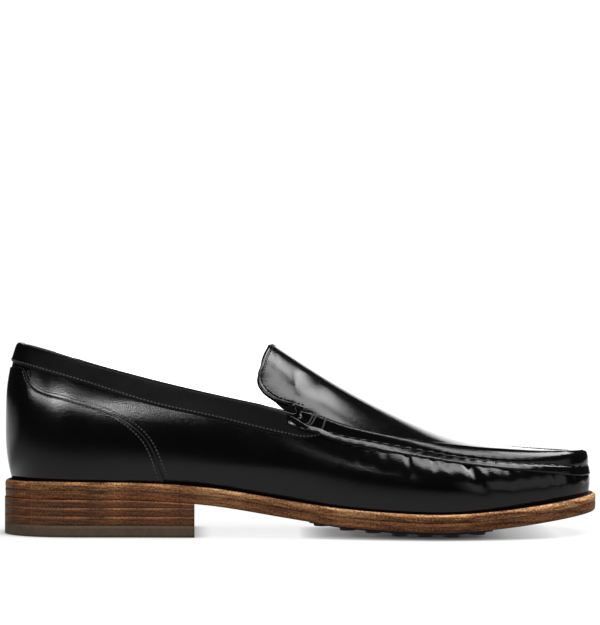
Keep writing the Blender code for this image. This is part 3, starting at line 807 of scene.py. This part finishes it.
# Places run from 0 at the lip's edge to 1 in the thread's groove, 2 at the corner and 3 on the apron.
SEAM_FOLDS = [
    Fold(0.0, -1.0), Fold(0.015, 0.2), Fold(0.045, 0.5), Fold(0.10, 0.62), Fold(0.2, 0.64), Fold(0.35, 0.65),
    Fold(0.5, 0.65), Fold(0.65, 0.65), Fold(0.78, 0.64), Fold(0.87, 0.6), Fold(0.94, 0.4), Fold(1.0, 0.05),
    Fold(1.05, 0.5), Fold(1.11, 0.8), Fold(1.2, 1.0), Fold(1.35, 1.25), Fold(1.55, 1.55), Fold(1.75, 1.82),
    Fold(1.92, 1.96), Fold(2.1, 1.94), Fold(2.3, 1.75), Fold(2.5, 1.44), Fold(2.66, 1.1), Fold(2.78, 0.75),
    Fold(2.88, 0.3), Fold(3.0, -0.4),
]
LIP_SLANT = math.radians(34)   # the lip's face leans this far back from upright
GROOVE_ROW, TOP_STITCH_ROW = 11, 22
SEAM_COLUMNS = 260
WHIP_PITCH = 5.6 * MM
seam_start = run_of_x(-3.2)
LIP_END, ROLL_END = -4.0 * MM, 2.2 * MM    # the lip's end stands back from the start, the roll's forward
LIP_FOLDS, ROLL_FOLDS = 0.9, 0.5           # the lip's folds end here, and the roll's end shifts over the next
END_COLUMNS = 9
SECTION_DEPTH, SECTION_REACH = 14 * MM, 35 * MM    # middle of a section's fan of lines, and their length
FAN_LINES, FAN_FIRST, FAN_STEP = 120, -38, 1.2     # the fan, in degrees


def seam_section(run):
    """The skin's line in the upright plane at a run, from the lip's edge up over the corner."""
    way = abs(run)
    shift = lip_height(run) - lip_height(way)
    low, groove, top = (along_table(SEAM, way, key) * MM + shift for key in ("low", "groove", "top"))
    over = along_table(SEAM, way, "over") * MM
    _, out = facing(run)
    middle = on_skin(smooth_skin, run, groove) - out * SECTION_DEPTH
    line = []
    for k in range(FAN_LINES):
        turn = math.radians(FAN_FIRST + FAN_STEP * k)
        ray = out * math.cos(turn) + Vector((0, 0, math.sin(turn)))
        hit = smooth_skin.ray_cast(middle + ray * SECTION_REACH, -ray)[0]
        if hit:
            line.append(hit)
    lengths = lengths_along(line)

    def length_at(height):
        k = next((n for n, p in enumerate(line) if p.z > height), len(line) - 1)
        if k == 0:
            return 0.0
        t = min((height - line[k - 1].z) / max(line[k].z - line[k - 1].z, 1e-9), 1.0)
        return lengths[k - 1] + t * (lengths[k] - lengths[k - 1])

    def at(length):
        wanted = min(max(length, 0.0), lengths[-1])
        k = next(n for n in range(len(lengths) - 1) if lengths[n + 1] >= wanted)
        t = (wanted - lengths[k]) / max(lengths[k + 1] - lengths[k], 1e-9)
        return line[k].lerp(line[k + 1], t)

    edge, thread_line, corner = (length_at(height) for height in (low, groove, top - CORNER_UNDER))
    points = []
    for fold in SEAM_FOLDS:
        if fold.place < 1:
            length = edge + fold.place * (thread_line - edge)
        elif fold.place < 2:
            length = thread_line + (fold.place - 1) * (corner - thread_line)
        else:
            length = corner + (fold.place - 2) * over
        points.append(at(length))
    return points


seam_length = 2 * (HALF_RUN - seam_start)
seam_runs = []
for k in range(SEAM_COLUMNS + 1):
    way = seam_start + seam_length * k / SEAM_COLUMNS
    seam_runs.append(way if way < HALF_RUN else way - 2 * HALF_RUN)
seam_base = [seam_section(run) for run in seam_runs]


def slanted_end(i, run):
    """A column near the seam's end, its lip drawn out towards the heel and its roll cut back."""
    share = 1 - min(i, SEAM_COLUMNS - i) / END_COLUMNS
    side = 1 if run > 0 else -1
    points = []
    for j, fold in enumerate(SEAM_FOLDS):
        on_roll = min((fold.place - LIP_FOLDS) / ROLL_FOLDS, 1.0)
        shift = LIP_END if fold.place < LIP_FOLDS else ROLL_END * on_roll
        points.append(seam_section(run + side * shift * share * share)[j])
    return points


for i, run in enumerate(seam_runs):
    if min(i, SEAM_COLUMNS - i) < END_COLUMNS:
        seam_base[i] = slanted_end(i, run)


def lip_slant(i):
    """How much further than at the groove the lip stands out at its edge, in millimetres."""
    up = seam_base[i][GROOVE_ROW] - seam_base[i][0]
    lean = math.atan2(math.hypot(up.x, up.y), up.z)
    wanted = LIP_SLANT * along_table(SEAM, abs(seam_runs[i]), "slant")
    return up.length / MM * math.tan(max(wanted - lean, 0.0))


DRAWN_IN = 0.09                            # depth of the dints beside the whip stitches, in millimetres
DINT_PLACE, DINT_WIDTH = 0.85, 0.35
FLUSH_END, FLUSH_SHARE = 1.5 * MM, 0.25    # at its very end the seam is worked down to this share
OVER_BAND = 1.2                            # the lip's end lies over the collar band
OVER_BAND_FROM, OVER_BAND_WHOLE = 19 * MM, 12 * MM
CRUMPLED, CRUMPLE = 12 * MM, 0.25          # length and depth of the lip's crumpled end
CRUMPLE_LENGTH, CRUMPLES_ACROSS, CRUMPLE_SEED = 1.7, 2.6, 0.4
ROLL_CRUMPLE = 0.25                        # the roll is crumpled less than the lip


def seam_relief(i, j):
    """Relief of the seam, drawn in a little beside each whip stitch."""
    fold, run = SEAM_FOLDS[j], seam_runs[i]
    way = seam_length * i / SEAM_COLUMNS
    phase = math.cos(2 * math.pi * way / WHIP_PITCH)
    near = math.exp(-((fold.place - DINT_PLACE) / DINT_WIDTH) ** 2)
    from_end = min(way, seam_length - way)
    flush = min(FLUSH_SHARE + (1 - FLUSH_SHARE) * from_end / FLUSH_END, 1.0)
    if fold.place < 1:
        body = fold.relief + lip_slant(i) * (1 - fold.place)
        body += OVER_BAND * faded(from_end, OVER_BAND_FROM, OVER_BAND_WHOLE)
    else:
        body = fold.relief * along_table(SEAM, abs(run), "roll") * (INNER_ROLL if run < 0 else 1)
    crumple = max(1 - from_end / CRUMPLED, 0.0) * (1 if fold.place < LIP_FOLDS else ROLL_CRUMPLE)
    spot = Vector((way / MM / CRUMPLE_LENGTH, fold.place * CRUMPLES_ACROSS, CRUMPLE_SEED))
    fold_over = CRUMPLE * noise.noise(spot) * crumple
    body = body * flush + fold_over if fold.relief > 0 else fold.relief
    return (body + DRAWN_IN * phase * near) * MM


seam_table = raised(seam_base, seam_relief)
seam = laid_strip("moccasin_seam", seam_table)
apply_modifier(seam, "SOLIDIFY", thickness=0.35 * MM, offset=-1)
seam.data.materials.append(calf)
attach(seam, "root")
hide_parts("apron_seam")


# Thread of the seam. Long whip stitches of waxed thread lie in the groove and hold lip and roll together.
# A row of fine black machine stitches runs along the roll's edge on the apron.
WHIP_LENGTH, WHIP_THREAD = 3.7 * MM, 0.75 * MM
WHIP_LIFT, WHIP_SLANT = 0.25 * MM, 0.12
whip_stitch = one_stitch("whip_stitch", WHIP_LENGTH, WHIP_THREAD)
groove_path = row_path(seam_table, seam_base, GROOVE_ROW)
sew("whip_stitches", whip_stitch, groove_path, WHIP_PITCH, WHIP_LIFT, WHIP_SLANT)
black_thread = leather(
    "black_thread", (0.002, 0.002, 0.002), (0.005, 0.005, 0.005), 0.5, 0.65, 4000.0, 0.3, shine=0.2
)
top_stitch_path = row_path(seam_table, seam_base, TOP_STITCH_ROW)
sew("apron_top_stitches", machine_stitch, top_stitch_path, STITCH_PITCH, yarn=black_thread)
bpy.data.objects.remove(whip_stitch)


# Tacks. At each end of the seam the roll is bound down by a double loop and a single loop of twisted cord.
# Each cord is a row of short slanted strands, laid across the roll from the groove to the apron.
Tack = namedtuple("Tack", "name foot_x head_x")
TACKS = [Tack("tack_first", 2.6, 8.6), Tack("tack_second", 4.2, 10.2), Tack("tack_single", 10.4, 13.6)]
CORD, CORD_STEPS = 1.2 * MM, 24
STRAND_LENGTH, STRAND_SHARE = 1.3 * MM, 0.7    # the strands are this share of the cord's thickness
STRAND_PITCH, STRAND_LIFT, STRAND_SLANT = 0.5 * MM, 0.15 * MM, 0.45
HEAD_ROW = 23
strand = one_stitch("strand", STRAND_LENGTH, CORD * STRAND_SHARE)


def seam_point(run, row):
    """Point of the seam and its direction out, between its columns and rows."""
    place = (abs(run) - seam_start) / seam_length * SEAM_COLUMNS
    if run < 0:
        place = SEAM_COLUMNS - place
    i, j = int(place), int(row)
    corners = [(i, j, (i + 1 - place) * (j + 1 - row)), (i + 1, j, (place - i) * (j + 1 - row)),
               (i, j + 1, (i + 1 - place) * (row - j)), (i + 1, j + 1, (place - i) * (row - j))]
    point = sum((seam_table[a][b] * share for a, b, share in corners), Vector())
    under = sum((seam_base[a][b] * share for a, b, share in corners), Vector())
    return point, (point - under).normalized()


for tack in TACKS:
    for side, label in SIDES:
        cord = []
        for k in range(CORD_STEPS + 1):
            t = k / CORD_STEPS
            run = side * run_of_x(tack.foot_x + (tack.head_x - tack.foot_x) * t)
            cord.append(seam_point(run, GROOVE_ROW + (HEAD_ROW - GROOVE_ROW) * t))
        sew(f"{tack.name}_{label}", strand, cord, STRAND_PITCH, STRAND_LIFT, STRAND_SLANT)
bpy.data.objects.remove(strand)


# Tongue edge. The tongue's leather is folded in at its edge and closed by one row of machine stitches. The
# edge is found by fans of lines round the tongue; the fold is a narrow strip laid along it and turned under.
TONGUE_FANS, TONGUE_COLUMNS = 170, 110
FIRST_FAN = 3.0                        # degrees above level
FAN_FROM, FAN_REACH = 0.080, 0.079
SEARCH_FROM, SEARCH_STEP = 0.004, 0.0005
RIM_FOOT_X, RIM_FOOT_HEIGHT = 1.5, 0.0632    # where the edge goes in under the seam, on both sides
EdgeRow = namedtuple("EdgeRow", "inside lift")
EDGE_ROWS = [
    EdgeRow(-0.05, -1.8), EdgeRow(-0.3, -1.3), EdgeRow(-0.38, -0.6), EdgeRow(-0.3, 0.05), EdgeRow(-0.1, 0.4),
    EdgeRow(0.3, 0.55), EdgeRow(0.8, 0.49), EdgeRow(1.25, 0.43), EdgeRow(1.6, 0.3), EdgeRow(1.8, -0.2),
]
STITCHES_INSIDE = 2.2
SURE_FACE = 0.6                        # this far inside the edge the tongue's face is met for certain
RIM_CAST, RIM_CAST_REACH = 6, 0.03     # a line cast at the face starts this far off it


def tongue_met(x, turn):
    """Point of the tongue's outer skin in a direction from its axis."""
    axis = Vector((x, MIDLINE_Y, TONGUE_AXIS_HEIGHT))
    out = Vector((0, -math.cos(turn), math.sin(turn)))
    point, normal, _, _ = skin.ray_cast(axis + out * FAN_FROM, -out, FAN_REACH)
    return point if point and normal.dot(out) > 0.5 else None


def tongue_end(turn):
    """Last point of the tongue towards the heel in a direction from its axis."""
    x = SEARCH_FROM
    while tongue_met(x - SEARCH_STEP, turn):
        x -= SEARCH_STEP
    return tongue_met(last_met(x, x - SEARCH_STEP, lambda place: tongue_met(place, turn)), turn)


fans = [FIRST_FAN + (180 - 2 * FIRST_FAN) * k / TONGUE_FANS for k in range(TONGUE_FANS + 1)]
tongue_ends = [tongue_end(math.radians(turn)) for turn in fans]
outer_foot, inner_foot = (on_skin(skin, side * run_of_x(RIM_FOOT_X), RIM_FOOT_HEIGHT) for side, _ in SIDES)
tongue_rim = smooth_line([outer_foot] + tongue_ends + [inner_foot], TONGUE_COLUMNS + 1)


def beside_rim(k, inside):
    """Point of the skin beside the tongue's edge, or past it, and the direction out."""
    rim = tongue_rim[k]
    along = tongue_rim[min(k + 2, TONGUE_COLUMNS)] - tongue_rim[max(k - 2, 0)]
    out = Vector((0, rim.y - MIDLINE_Y, rim.z - TONGUE_AXIS_HEIGHT)).normalized()
    inward = along.cross(out).normalized()
    on_face = max(inside, SURE_FACE)
    above = rim + inward * on_face * MM + out * RIM_CAST * MM
    point, normal, _, _ = skin.ray_cast(above, -out, RIM_CAST_REACH)
    return point + inward * (inside - on_face) * MM, normal


edge_table = []
for k in reversed(range(TONGUE_COLUMNS + 1)):
    column = [beside_rim(k, row.inside) for row in EDGE_ROWS]
    edge_table.append([point + normal * row.lift * MM for (point, normal), row in zip(column, EDGE_ROWS)])
tongue_edge = laid_strip("tongue_edge", edge_table)
tongue_edge.data.materials.append(calf)
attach(tongue_edge, "root")
tongue_stitch_path = [beside_rim(k, STITCHES_INSIDE) for k in range(TONGUE_COLUMNS + 1)]
sew("tongue_stitches", machine_stitch, tongue_stitch_path, STITCH_PITCH, yarn=black_thread)
bpy.data.objects.remove(machine_stitch)


# Insole. A sock of thin black leather on a board, glued down on the welt. It is a copy of its solid with
# rounder edges, and is only seen from above.
insole = copy_of_solid("insole", "insole_sock")
crease_sharp_edges(insole, 50, 0.8)
apply_modifier(insole, "SUBSURF", levels=2, render_levels=2)
sock = leather("sock_leather", (0.014, 0.012, 0.011), (0.030, 0.026, 0.022), 0.5, 0.62, 1200.0, 0.25)
insole.data.materials.append(sock)
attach(insole, "root")
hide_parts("insole")


# Sole edge. Welt and outsole are layers of oak-tanned leather, glued and sewn, cut flush, stained brown
# and burnished, so that their edge shows streaks along the layers; the welt's light top edge is a painted
# highlight.
EdgeMark = namedtuple("EdgeMark", "name along up detail roughness distortion")
# How many of each mark stand in a metre along the layer and up it, and how they are drawn.
EDGE_MARKS = [
    EdgeMark("Streak", 45.0, 900.0, 5.0, 0.65, 0.6), EdgeMark("Blotch", 42.0, 330.0, 4.0, 0.6, 0.8),
    EdgeMark("Speck", 1000.0, 1300.0, 3.0, 0.7, 0.0), EdgeMark("Height", 500.0, 2200.0, 2.0, 0.5, 0.0),
]


def edge_streaks_group():
    """Streaks of a burnished leather edge, drawn along the layer from its own edge map."""
    group, given, result = new_group("edge_streaks", {"Fineness": 1.0}, [mark.name for mark in EDGE_MARKS])
    place = put(group, "ShaderNodeUVMap", {"uv_map": "edge"}).outputs[0]
    sized = put(group, "ShaderNodeVectorMath", {"operation": "SCALE"}, _0=place,
                Scale=given.outputs["Fineness"])
    for mark in EDGE_MARKS:
        drawn_out = put(group, "ShaderNodeMapping", Vector=sized.outputs[0], Scale=(mark.along, mark.up, 1.0))
        pattern = put(group, "ShaderNodeTexNoise", Vector=drawn_out.outputs[0], Scale=1.0, Detail=mark.detail,
                      Roughness=mark.roughness, Distortion=mark.distortion)
        group.links.new(pattern.outputs[0], result.inputs[mark.name])
    return group


edge_streaks = edge_streaks_group()
Tone = namedtuple("Tone", "stop colour")


def ramp(tree, factor, tones):
    """A colour that runs through some tones as a factor grows."""
    made = put(tree, "ShaderNodeValToRGB", Fac=factor)
    stops = made.color_ramp.elements
    while len(stops) < len(tones):
        stops.new(0.5)
    for stop, tone in zip(stops, tones):
        stop.position = tone.stop
        stop.color = (*tone.colour, 1)
    return made.outputs["Color"]


def burnished(name, tones, edge_tones, smooth, rough):
    """Stained and burnished leather edge: streaks and blotches, with other tones at the layer's limits; on
    the welt and the lifts the top one is a painted highlight.
    """
    made, tree, shader = new_material(name)
    streaks = put(tree, "ShaderNodeGroup", {"node_tree": edge_streaks}, Fineness=1.0)
    total = 0.0
    for output, share in (("Blotch", 0.36), ("Streak", 0.20), ("Speck", 0.44)):
        total = put(tree, "ShaderNodeMath", {"operation": "MULTIPLY_ADD"}, _0=streaks.outputs[output],
                    _1=share, _2=total).outputs[0]
    stained = ramp(tree, total, tones)
    layer_map = put(tree, "ShaderNodeUVMap", {"uv_map": "layer"})
    level = put(tree, "ShaderNodeSeparateXYZ", _0=layer_map.outputs[0])
    tones_by_height_with_painted_highlight = ramp(tree, level.outputs["Y"], edge_tones)
    colour = mixed(tree, 1.0, stained, tones_by_height_with_painted_highlight, "MULTIPLY")
    gloss = put(tree, "ShaderNodeMapRange", Value=streaks.outputs["Blotch"], From_Min=0.3, From_Max=0.7,
                To_Min=smooth, To_Max=rough)
    bump = put(tree, "ShaderNodeBump", Strength=0.25, Distance=0.2 * MM, Height=streaks.outputs["Height"])
    finished_with(tree, shader, colour, gloss, bump)
    shader.inputs["Specular IOR Level"].default_value = 0.25
    return made


def map_edge(piece):
    """Edge map: run and height in metres; layer map: run and share of the layer's height."""
    tree = tree_of(piece)
    mesh = piece.data
    spans, step, aside = {}, 2 * MM, 0.1 * MM

    def span(run):
        key = round(run / step)
        if key not in spans:
            spans[key] = reach(tree, key * step + aside)
        return spans[key]

    edge_map = mesh.uv_layers.new(name="edge")
    layer_map = mesh.uv_layers.new(name="layer")
    for face in mesh.polygons:
        for k in face.loop_indices:
            point = mesh.vertices[mesh.loops[k].vertex_index].co
            run = run_at(point)
            low, high = span(run)
            edge_map.data[k].uv = (run, point.z - low)
            layer_map.data[k].uv = (run, (point.z - low) / (high - low))


def sole_layer(node, name, raise_top, made_of):
    """A layer of the sole: its solid, smoothed along its outline and pressed up against the next layer."""
    piece = copy_of_solid(node, name)
    map_edge(piece)
    crease_sharp_edges(piece, 20, 1.0)
    apply_modifier(piece, "SUBSURF", levels=2, render_levels=2)
    for v in [v for v in piece.data.vertices if v.normal.z > 0.5]:
        v.co.z += raise_top
    piece.data.materials.append(made_of)
    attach(piece, "root")
    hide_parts(node)
    return piece


WELT_TONES = [
    Tone(0.42, (0.045, 0.015, 0.006)), Tone(0.475, (0.22, 0.082, 0.026)), Tone(0.525, (0.40, 0.172, 0.058)),
    Tone(0.58, (0.70, 0.40, 0.18)),
]
# Tones by share of the welt's height: darker towards the bottom, and a painted highlight along the top.
WELT_EDGE = [
    Tone(0.0, (0.62, 0.58, 0.56)), Tone(0.4, (0.72, 0.69, 0.67)), Tone(0.7, (0.98, 0.97, 0.97)),
    Tone(0.9, (1.6, 1.7, 1.8)),
]
OUTSOLE_TONES = [
    Tone(0.42, (0.028, 0.010, 0.004)), Tone(0.475, (0.14, 0.050, 0.016)), Tone(0.525, (0.24, 0.092, 0.031)),
    Tone(0.58, (0.42, 0.19, 0.078)),
]
OUTSOLE_EDGE = [
    Tone(0.0, (0.85, 0.85, 0.88)), Tone(0.25, (1.0, 1.0, 1.0)), Tone(0.8, (0.95, 0.93, 0.92)),
    Tone(1.0, (0.6, 0.56, 0.54)),
]
welt_leather = burnished("welt_edge", WELT_TONES, WELT_EDGE, 0.38, 0.55)
welt = sole_layer("welt", "welt_strip", 0.0, welt_leather)
welt.data.materials.append(edge_dye_and_painted_shade)             # its flat top, beside the upper, is painted black as the upper's shade
# The welt's upward faces take the black material: painted shade.
for face in welt.data.polygons:
    face.material_index = 1 if face.normal.z > 0.95 else 0
GLUED = 0.25 * MM                                # each layer below is pressed this far into the next one up
sole_leather = burnished("outsole_edge", OUTSOLE_TONES, OUTSOLE_EDGE, 0.42, 0.6)
sole_layer("outsole", "leather_outsole", GLUED, sole_leather)


# Heel. Three lifts of the same leather, glued and pegged in a stack and sanded flush, with a light glue
# line on top of each, brightened as a painted highlight, on a top piece of grey-brown rubber.
LIFT_TONES = [
    Tone(0.42, (0.026, 0.010, 0.004)), Tone(0.475, (0.092, 0.034, 0.013)), Tone(0.525, (0.150, 0.055, 0.019)),
    Tone(0.59, (0.25, 0.105, 0.038)),
]
# Tones by share of a lift's height: darker towards the bottom, and at the top a light glue line brightened as
# a painted highlight.
LIFT_EDGE = [
    Tone(0.0, (0.8, 0.78, 0.76)), Tone(0.3, (0.95, 0.95, 0.95)), Tone(0.76, (1.0, 1.0, 1.0)),
    Tone(0.9, (2.2, 2.05, 1.85)),
]
lift_leather = burnished("lift_edge", LIFT_TONES, LIFT_EDGE, 0.42, 0.58)
for number in (1, 2, 3):
    sole_layer(f"heel_lift_{number}", f"stacked_lift_{number}", GLUED, lift_leather)


def rubber(name, dark, light, rough, speck):
    """Matt moulded rubber with a faint speckle."""
    made, tree, shader = new_material(name)
    mould = put(tree, "ShaderNodeGroup", {"node_tree": leather_grain}, Pores=speck, Clouds=220.0)
    colour = ramp(tree, mould.outputs["Clouds"], [Tone(0.35, dark), Tone(0.65, light)])
    gloss = put(tree, "ShaderNodeMapRange", Value=mould.outputs["Clouds"], To_Min=rough, To_Max=rough + 0.15)
    bump = put(tree, "ShaderNodeBump", Strength=0.3, Distance=0.1 * MM, Height=mould.outputs["Height"])
    finished_with(tree, shader, colour, gloss, bump)
    return made


heel_rubber = rubber("heel_rubber", (0.077, 0.050, 0.025), (0.110, 0.073, 0.038), 0.6, 1500.0)
sole_layer("top_piece", "rubber_top_piece", GLUED, heel_rubber)


# Forepart tread. A half sole of black rubber moulded with round studs, glued under the ball of the foot.
# Its solid has the right shape and stays, with a rubber of its own.
tread_rubber = rubber("tread_rubber", (0.010, 0.010, 0.010), (0.02, 0.02, 0.02), 0.65, 1500.0)
tread = frame["nodes"]["forepart_tread"]
tread.data.materials.clear()
tread.data.materials.append(tread_rubber)


# Stage. A pale floor glowing like a light table, with a painted shadow close under the shoe and a painted
# reflection in the polish, a white backdrop, two soft boxes overhead on the toe's side, two upright panels
# beside the camera, towards the heel, and a dim one before the toe.
FLOOR_SIZE, FLOOR_GREY = 8.0, 0.17
BACKDROP_SIZE, BACKDROP_PLACE = (0.9, 1.1, 1), (0.1, 2.0, 0.55)
BACKDROP_GREY, BACKDROP_GLOW = 0.8, 1.8


def plain_white(name, grey, glow):
    """Matt white paper, which may glow."""
    made, _, shader = new_material(name)
    shader.inputs["Base Color"].default_value = (grey, grey, grey, 1)
    shader.inputs["Roughness"].default_value = 0.9
    shader.inputs["Specular IOR Level"].default_value = 0.0
    shader.inputs["Emission Color"].default_value = (1, 1, 1, 1)
    shader.inputs["Emission Strength"].default_value = glow
    return made


bpy.ops.object.select_all(action="DESELECT")
bpy.ops.mesh.primitive_plane_add(size=FLOOR_SIZE)
floor = bpy.context.object
floor.name = "floor"
floor.data.materials.append(plain_white("floor_paper", FLOOR_GREY, 0.0))
floor_tree = floor.data.materials[0].node_tree
floor_shader = floor_tree.nodes["Principled BSDF"]


def graded(value, start, end, low=0.0, high=1.0, blend="LINEAR"):
    """A value turned into one that runs from low to high between its start and its end."""
    made = put(floor_tree, "ShaderNodeMapRange", {"interpolation_type": blend}, Value=value, From_Min=start,
               From_Max=end, To_Min=low, To_Max=high)
    return made.outputs[0]


def product(first, second, added=0.0):
    made = put(floor_tree, "ShaderNodeMath", {"operation": "MULTIPLY_ADD"}, _0=first, _1=second, _2=added)
    return made.outputs[0]


def far_off(spot):
    return put(floor_tree, "ShaderNodeVectorMath", {"operation": "LENGTH"}, _0=spot).outputs["Value"]


spot = put(floor_tree, "ShaderNodeTexCoord").outputs["Object"]
spot_parts = put(floor_tree, "ShaderNodeSeparateXYZ", _0=spot)
forward, inward = spot_parts.outputs["X"], spot_parts.outputs["Y"]
ray = put(floor_tree, "ShaderNodeLightPath")
straight, mirrored = ray.outputs["Is Camera Ray"], ray.outputs["Is Glossy Ray"]

# Seen straight, the floor glows an even white, with a painted shadow close under the shoe.
painted_contact_shadow = put(floor_tree, "ShaderNodeAmbientOcclusion", {"samples": 16}, Distance=0.009).outputs["AO"]
glow_with_painted_shadow = product(graded(far_off(spot), 0.25, 1.6, 0.86, 1.0), painted_contact_shadow)
# Mirrored in the polish, the floor is black and glows as a painted reflection: dim in front, most of all far
# from the shoe, bright at the back, with a bright patch behind the heel.
narrowed = put(floor_tree, "ShaderNodeVectorMath", {"operation": "MULTIPLY"}, _0=spot, _1=(0.4, 1, 0))
in_front = graded(far_off(narrowed.outputs[0]), 0.40, 0.07, 0.03, 0.45, "SMOOTHSTEP")
at_back = graded(inward, 0.1, 0.3, in_front, 0.8)
near_heel = product(graded(inward, -0.08, 0.02), graded(far_off(spot), 0.30, 0.20))
painted_reflection_glow = product(graded(forward, -0.17, -0.26), near_heel, at_back)
floor_glow = product(painted_reflection_glow, mirrored, product(glow_with_painted_shadow, straight))
floor_colour = mixed(floor_tree, mirrored, (FLOOR_GREY, FLOOR_GREY, FLOOR_GREY), (0, 0, 0))
floor_tree.links.new(floor_colour, floor_shader.inputs["Base Color"])
floor_tree.links.new(floor_glow, floor_shader.inputs["Emission Strength"])

bpy.ops.mesh.primitive_plane_add(size=1.0)
backdrop = bpy.context.object
backdrop.name = "backdrop"
bpy.ops.object.mode_set(mode="EDIT")
bpy.ops.transform.resize(value=BACKDROP_SIZE)
bpy.ops.transform.rotate(value=math.pi / 2, orient_axis="X", center_override=(0, 0, 0))
bpy.ops.transform.translate(value=BACKDROP_PLACE)
bpy.ops.object.mode_set(mode="OBJECT")
backdrop.data.materials.append(plain_white("backdrop_paper", BACKDROP_GREY, BACKDROP_GLOW))

SoftBox = namedtuple("SoftBox", "name place width height radiance aim turn")
SOFT_BOXES = [
    SoftBox("over_toe", (0.84, 0.22, 1.20), 0.60, 0.98, 7.0, (0.84, 0.22, 0.0), -22),
    SoftBox("over_side", (0.34, -0.42, 1.20), 1.15, 0.36, 4.5, (0.34, -0.42, 0.0), 0),
    SoftBox("beside_camera", (-0.365, -0.80, 0.455), 0.31, 0.12, 12.0, (-0.365, 0.0, 0.455), 0),
    SoftBox("before_toe", (0.95, -0.75, 0.33), 1.3, 0.6, 0.4, (0.1, 0.0, 0.05), 0),
    SoftBox("beside_heel", (-0.90, -0.92, 0.525), 1.0, 0.17, 6.5, (-0.12, -0.03, 0.07), 0),
]
for box in SOFT_BOXES:
    bpy.ops.object.light_add(type="AREA", location=box.place)
    lamp = bpy.context.object
    lamp.name = box.name
    lamp.data.shape = "RECTANGLE"
    lamp.data.size, lamp.data.size_y = box.width, box.height
    lamp.data.energy = 4 * box.radiance * box.width * box.height
    aimed = (Vector(box.aim) - Vector(box.place)).to_track_quat("-Z", "Y")
    lamp.rotation_euler = (aimed @ Euler((0, 0, math.radians(box.turn))).to_quaternion()).to_euler()
    lamp.visible_camera = False

ROOM_LIGHT, ROOM_SEEN = 0.02, 1.05     # the room lights the shoe faintly, and is white where it is seen
world = bpy.data.worlds.new("studio")
bpy.context.scene.world = world
world.use_nodes = True
world_tree = world.node_tree
world_tree.nodes["Background"].inputs["Color"].default_value = (1, 1, 1, 1)
seen = put(world_tree, "ShaderNodeLightPath").outputs["Is Camera Ray"]
bright = put(world_tree, "ShaderNodeMapRange", Value=seen, To_Min=ROOM_LIGHT, To_Max=ROOM_SEEN)
world_tree.links.new(bright.outputs[0], world_tree.nodes["Background"].inputs["Strength"])


# Camera. Level with the top of the shoe, 1.1 m to its outer side, as in the photograph. Its lens is worked
# out from the photograph's height and focal length in pixels.
PHOTO_HEIGHT, FOCAL_PIXELS, SENSOR = 625, 2161, 36.0
CAMERA_PLACE, CAMERA_AIM = Vector((0.0, -1.1, 0.097)), Vector((0.0, 0.0, 0.1115))
bpy.ops.object.camera_add(location=CAMERA_PLACE)
camera = bpy.context.object
camera.rotation_euler = (CAMERA_AIM - CAMERA_PLACE).to_track_quat("-Z", "Y").to_euler()
camera.data.sensor_width = SENSOR
camera.data.lens = SENSOR * FOCAL_PIXELS / PHOTO_HEIGHT
bpy.context.scene.camera = camera
bpy.context.scene.view_settings.view_transform = "Standard"
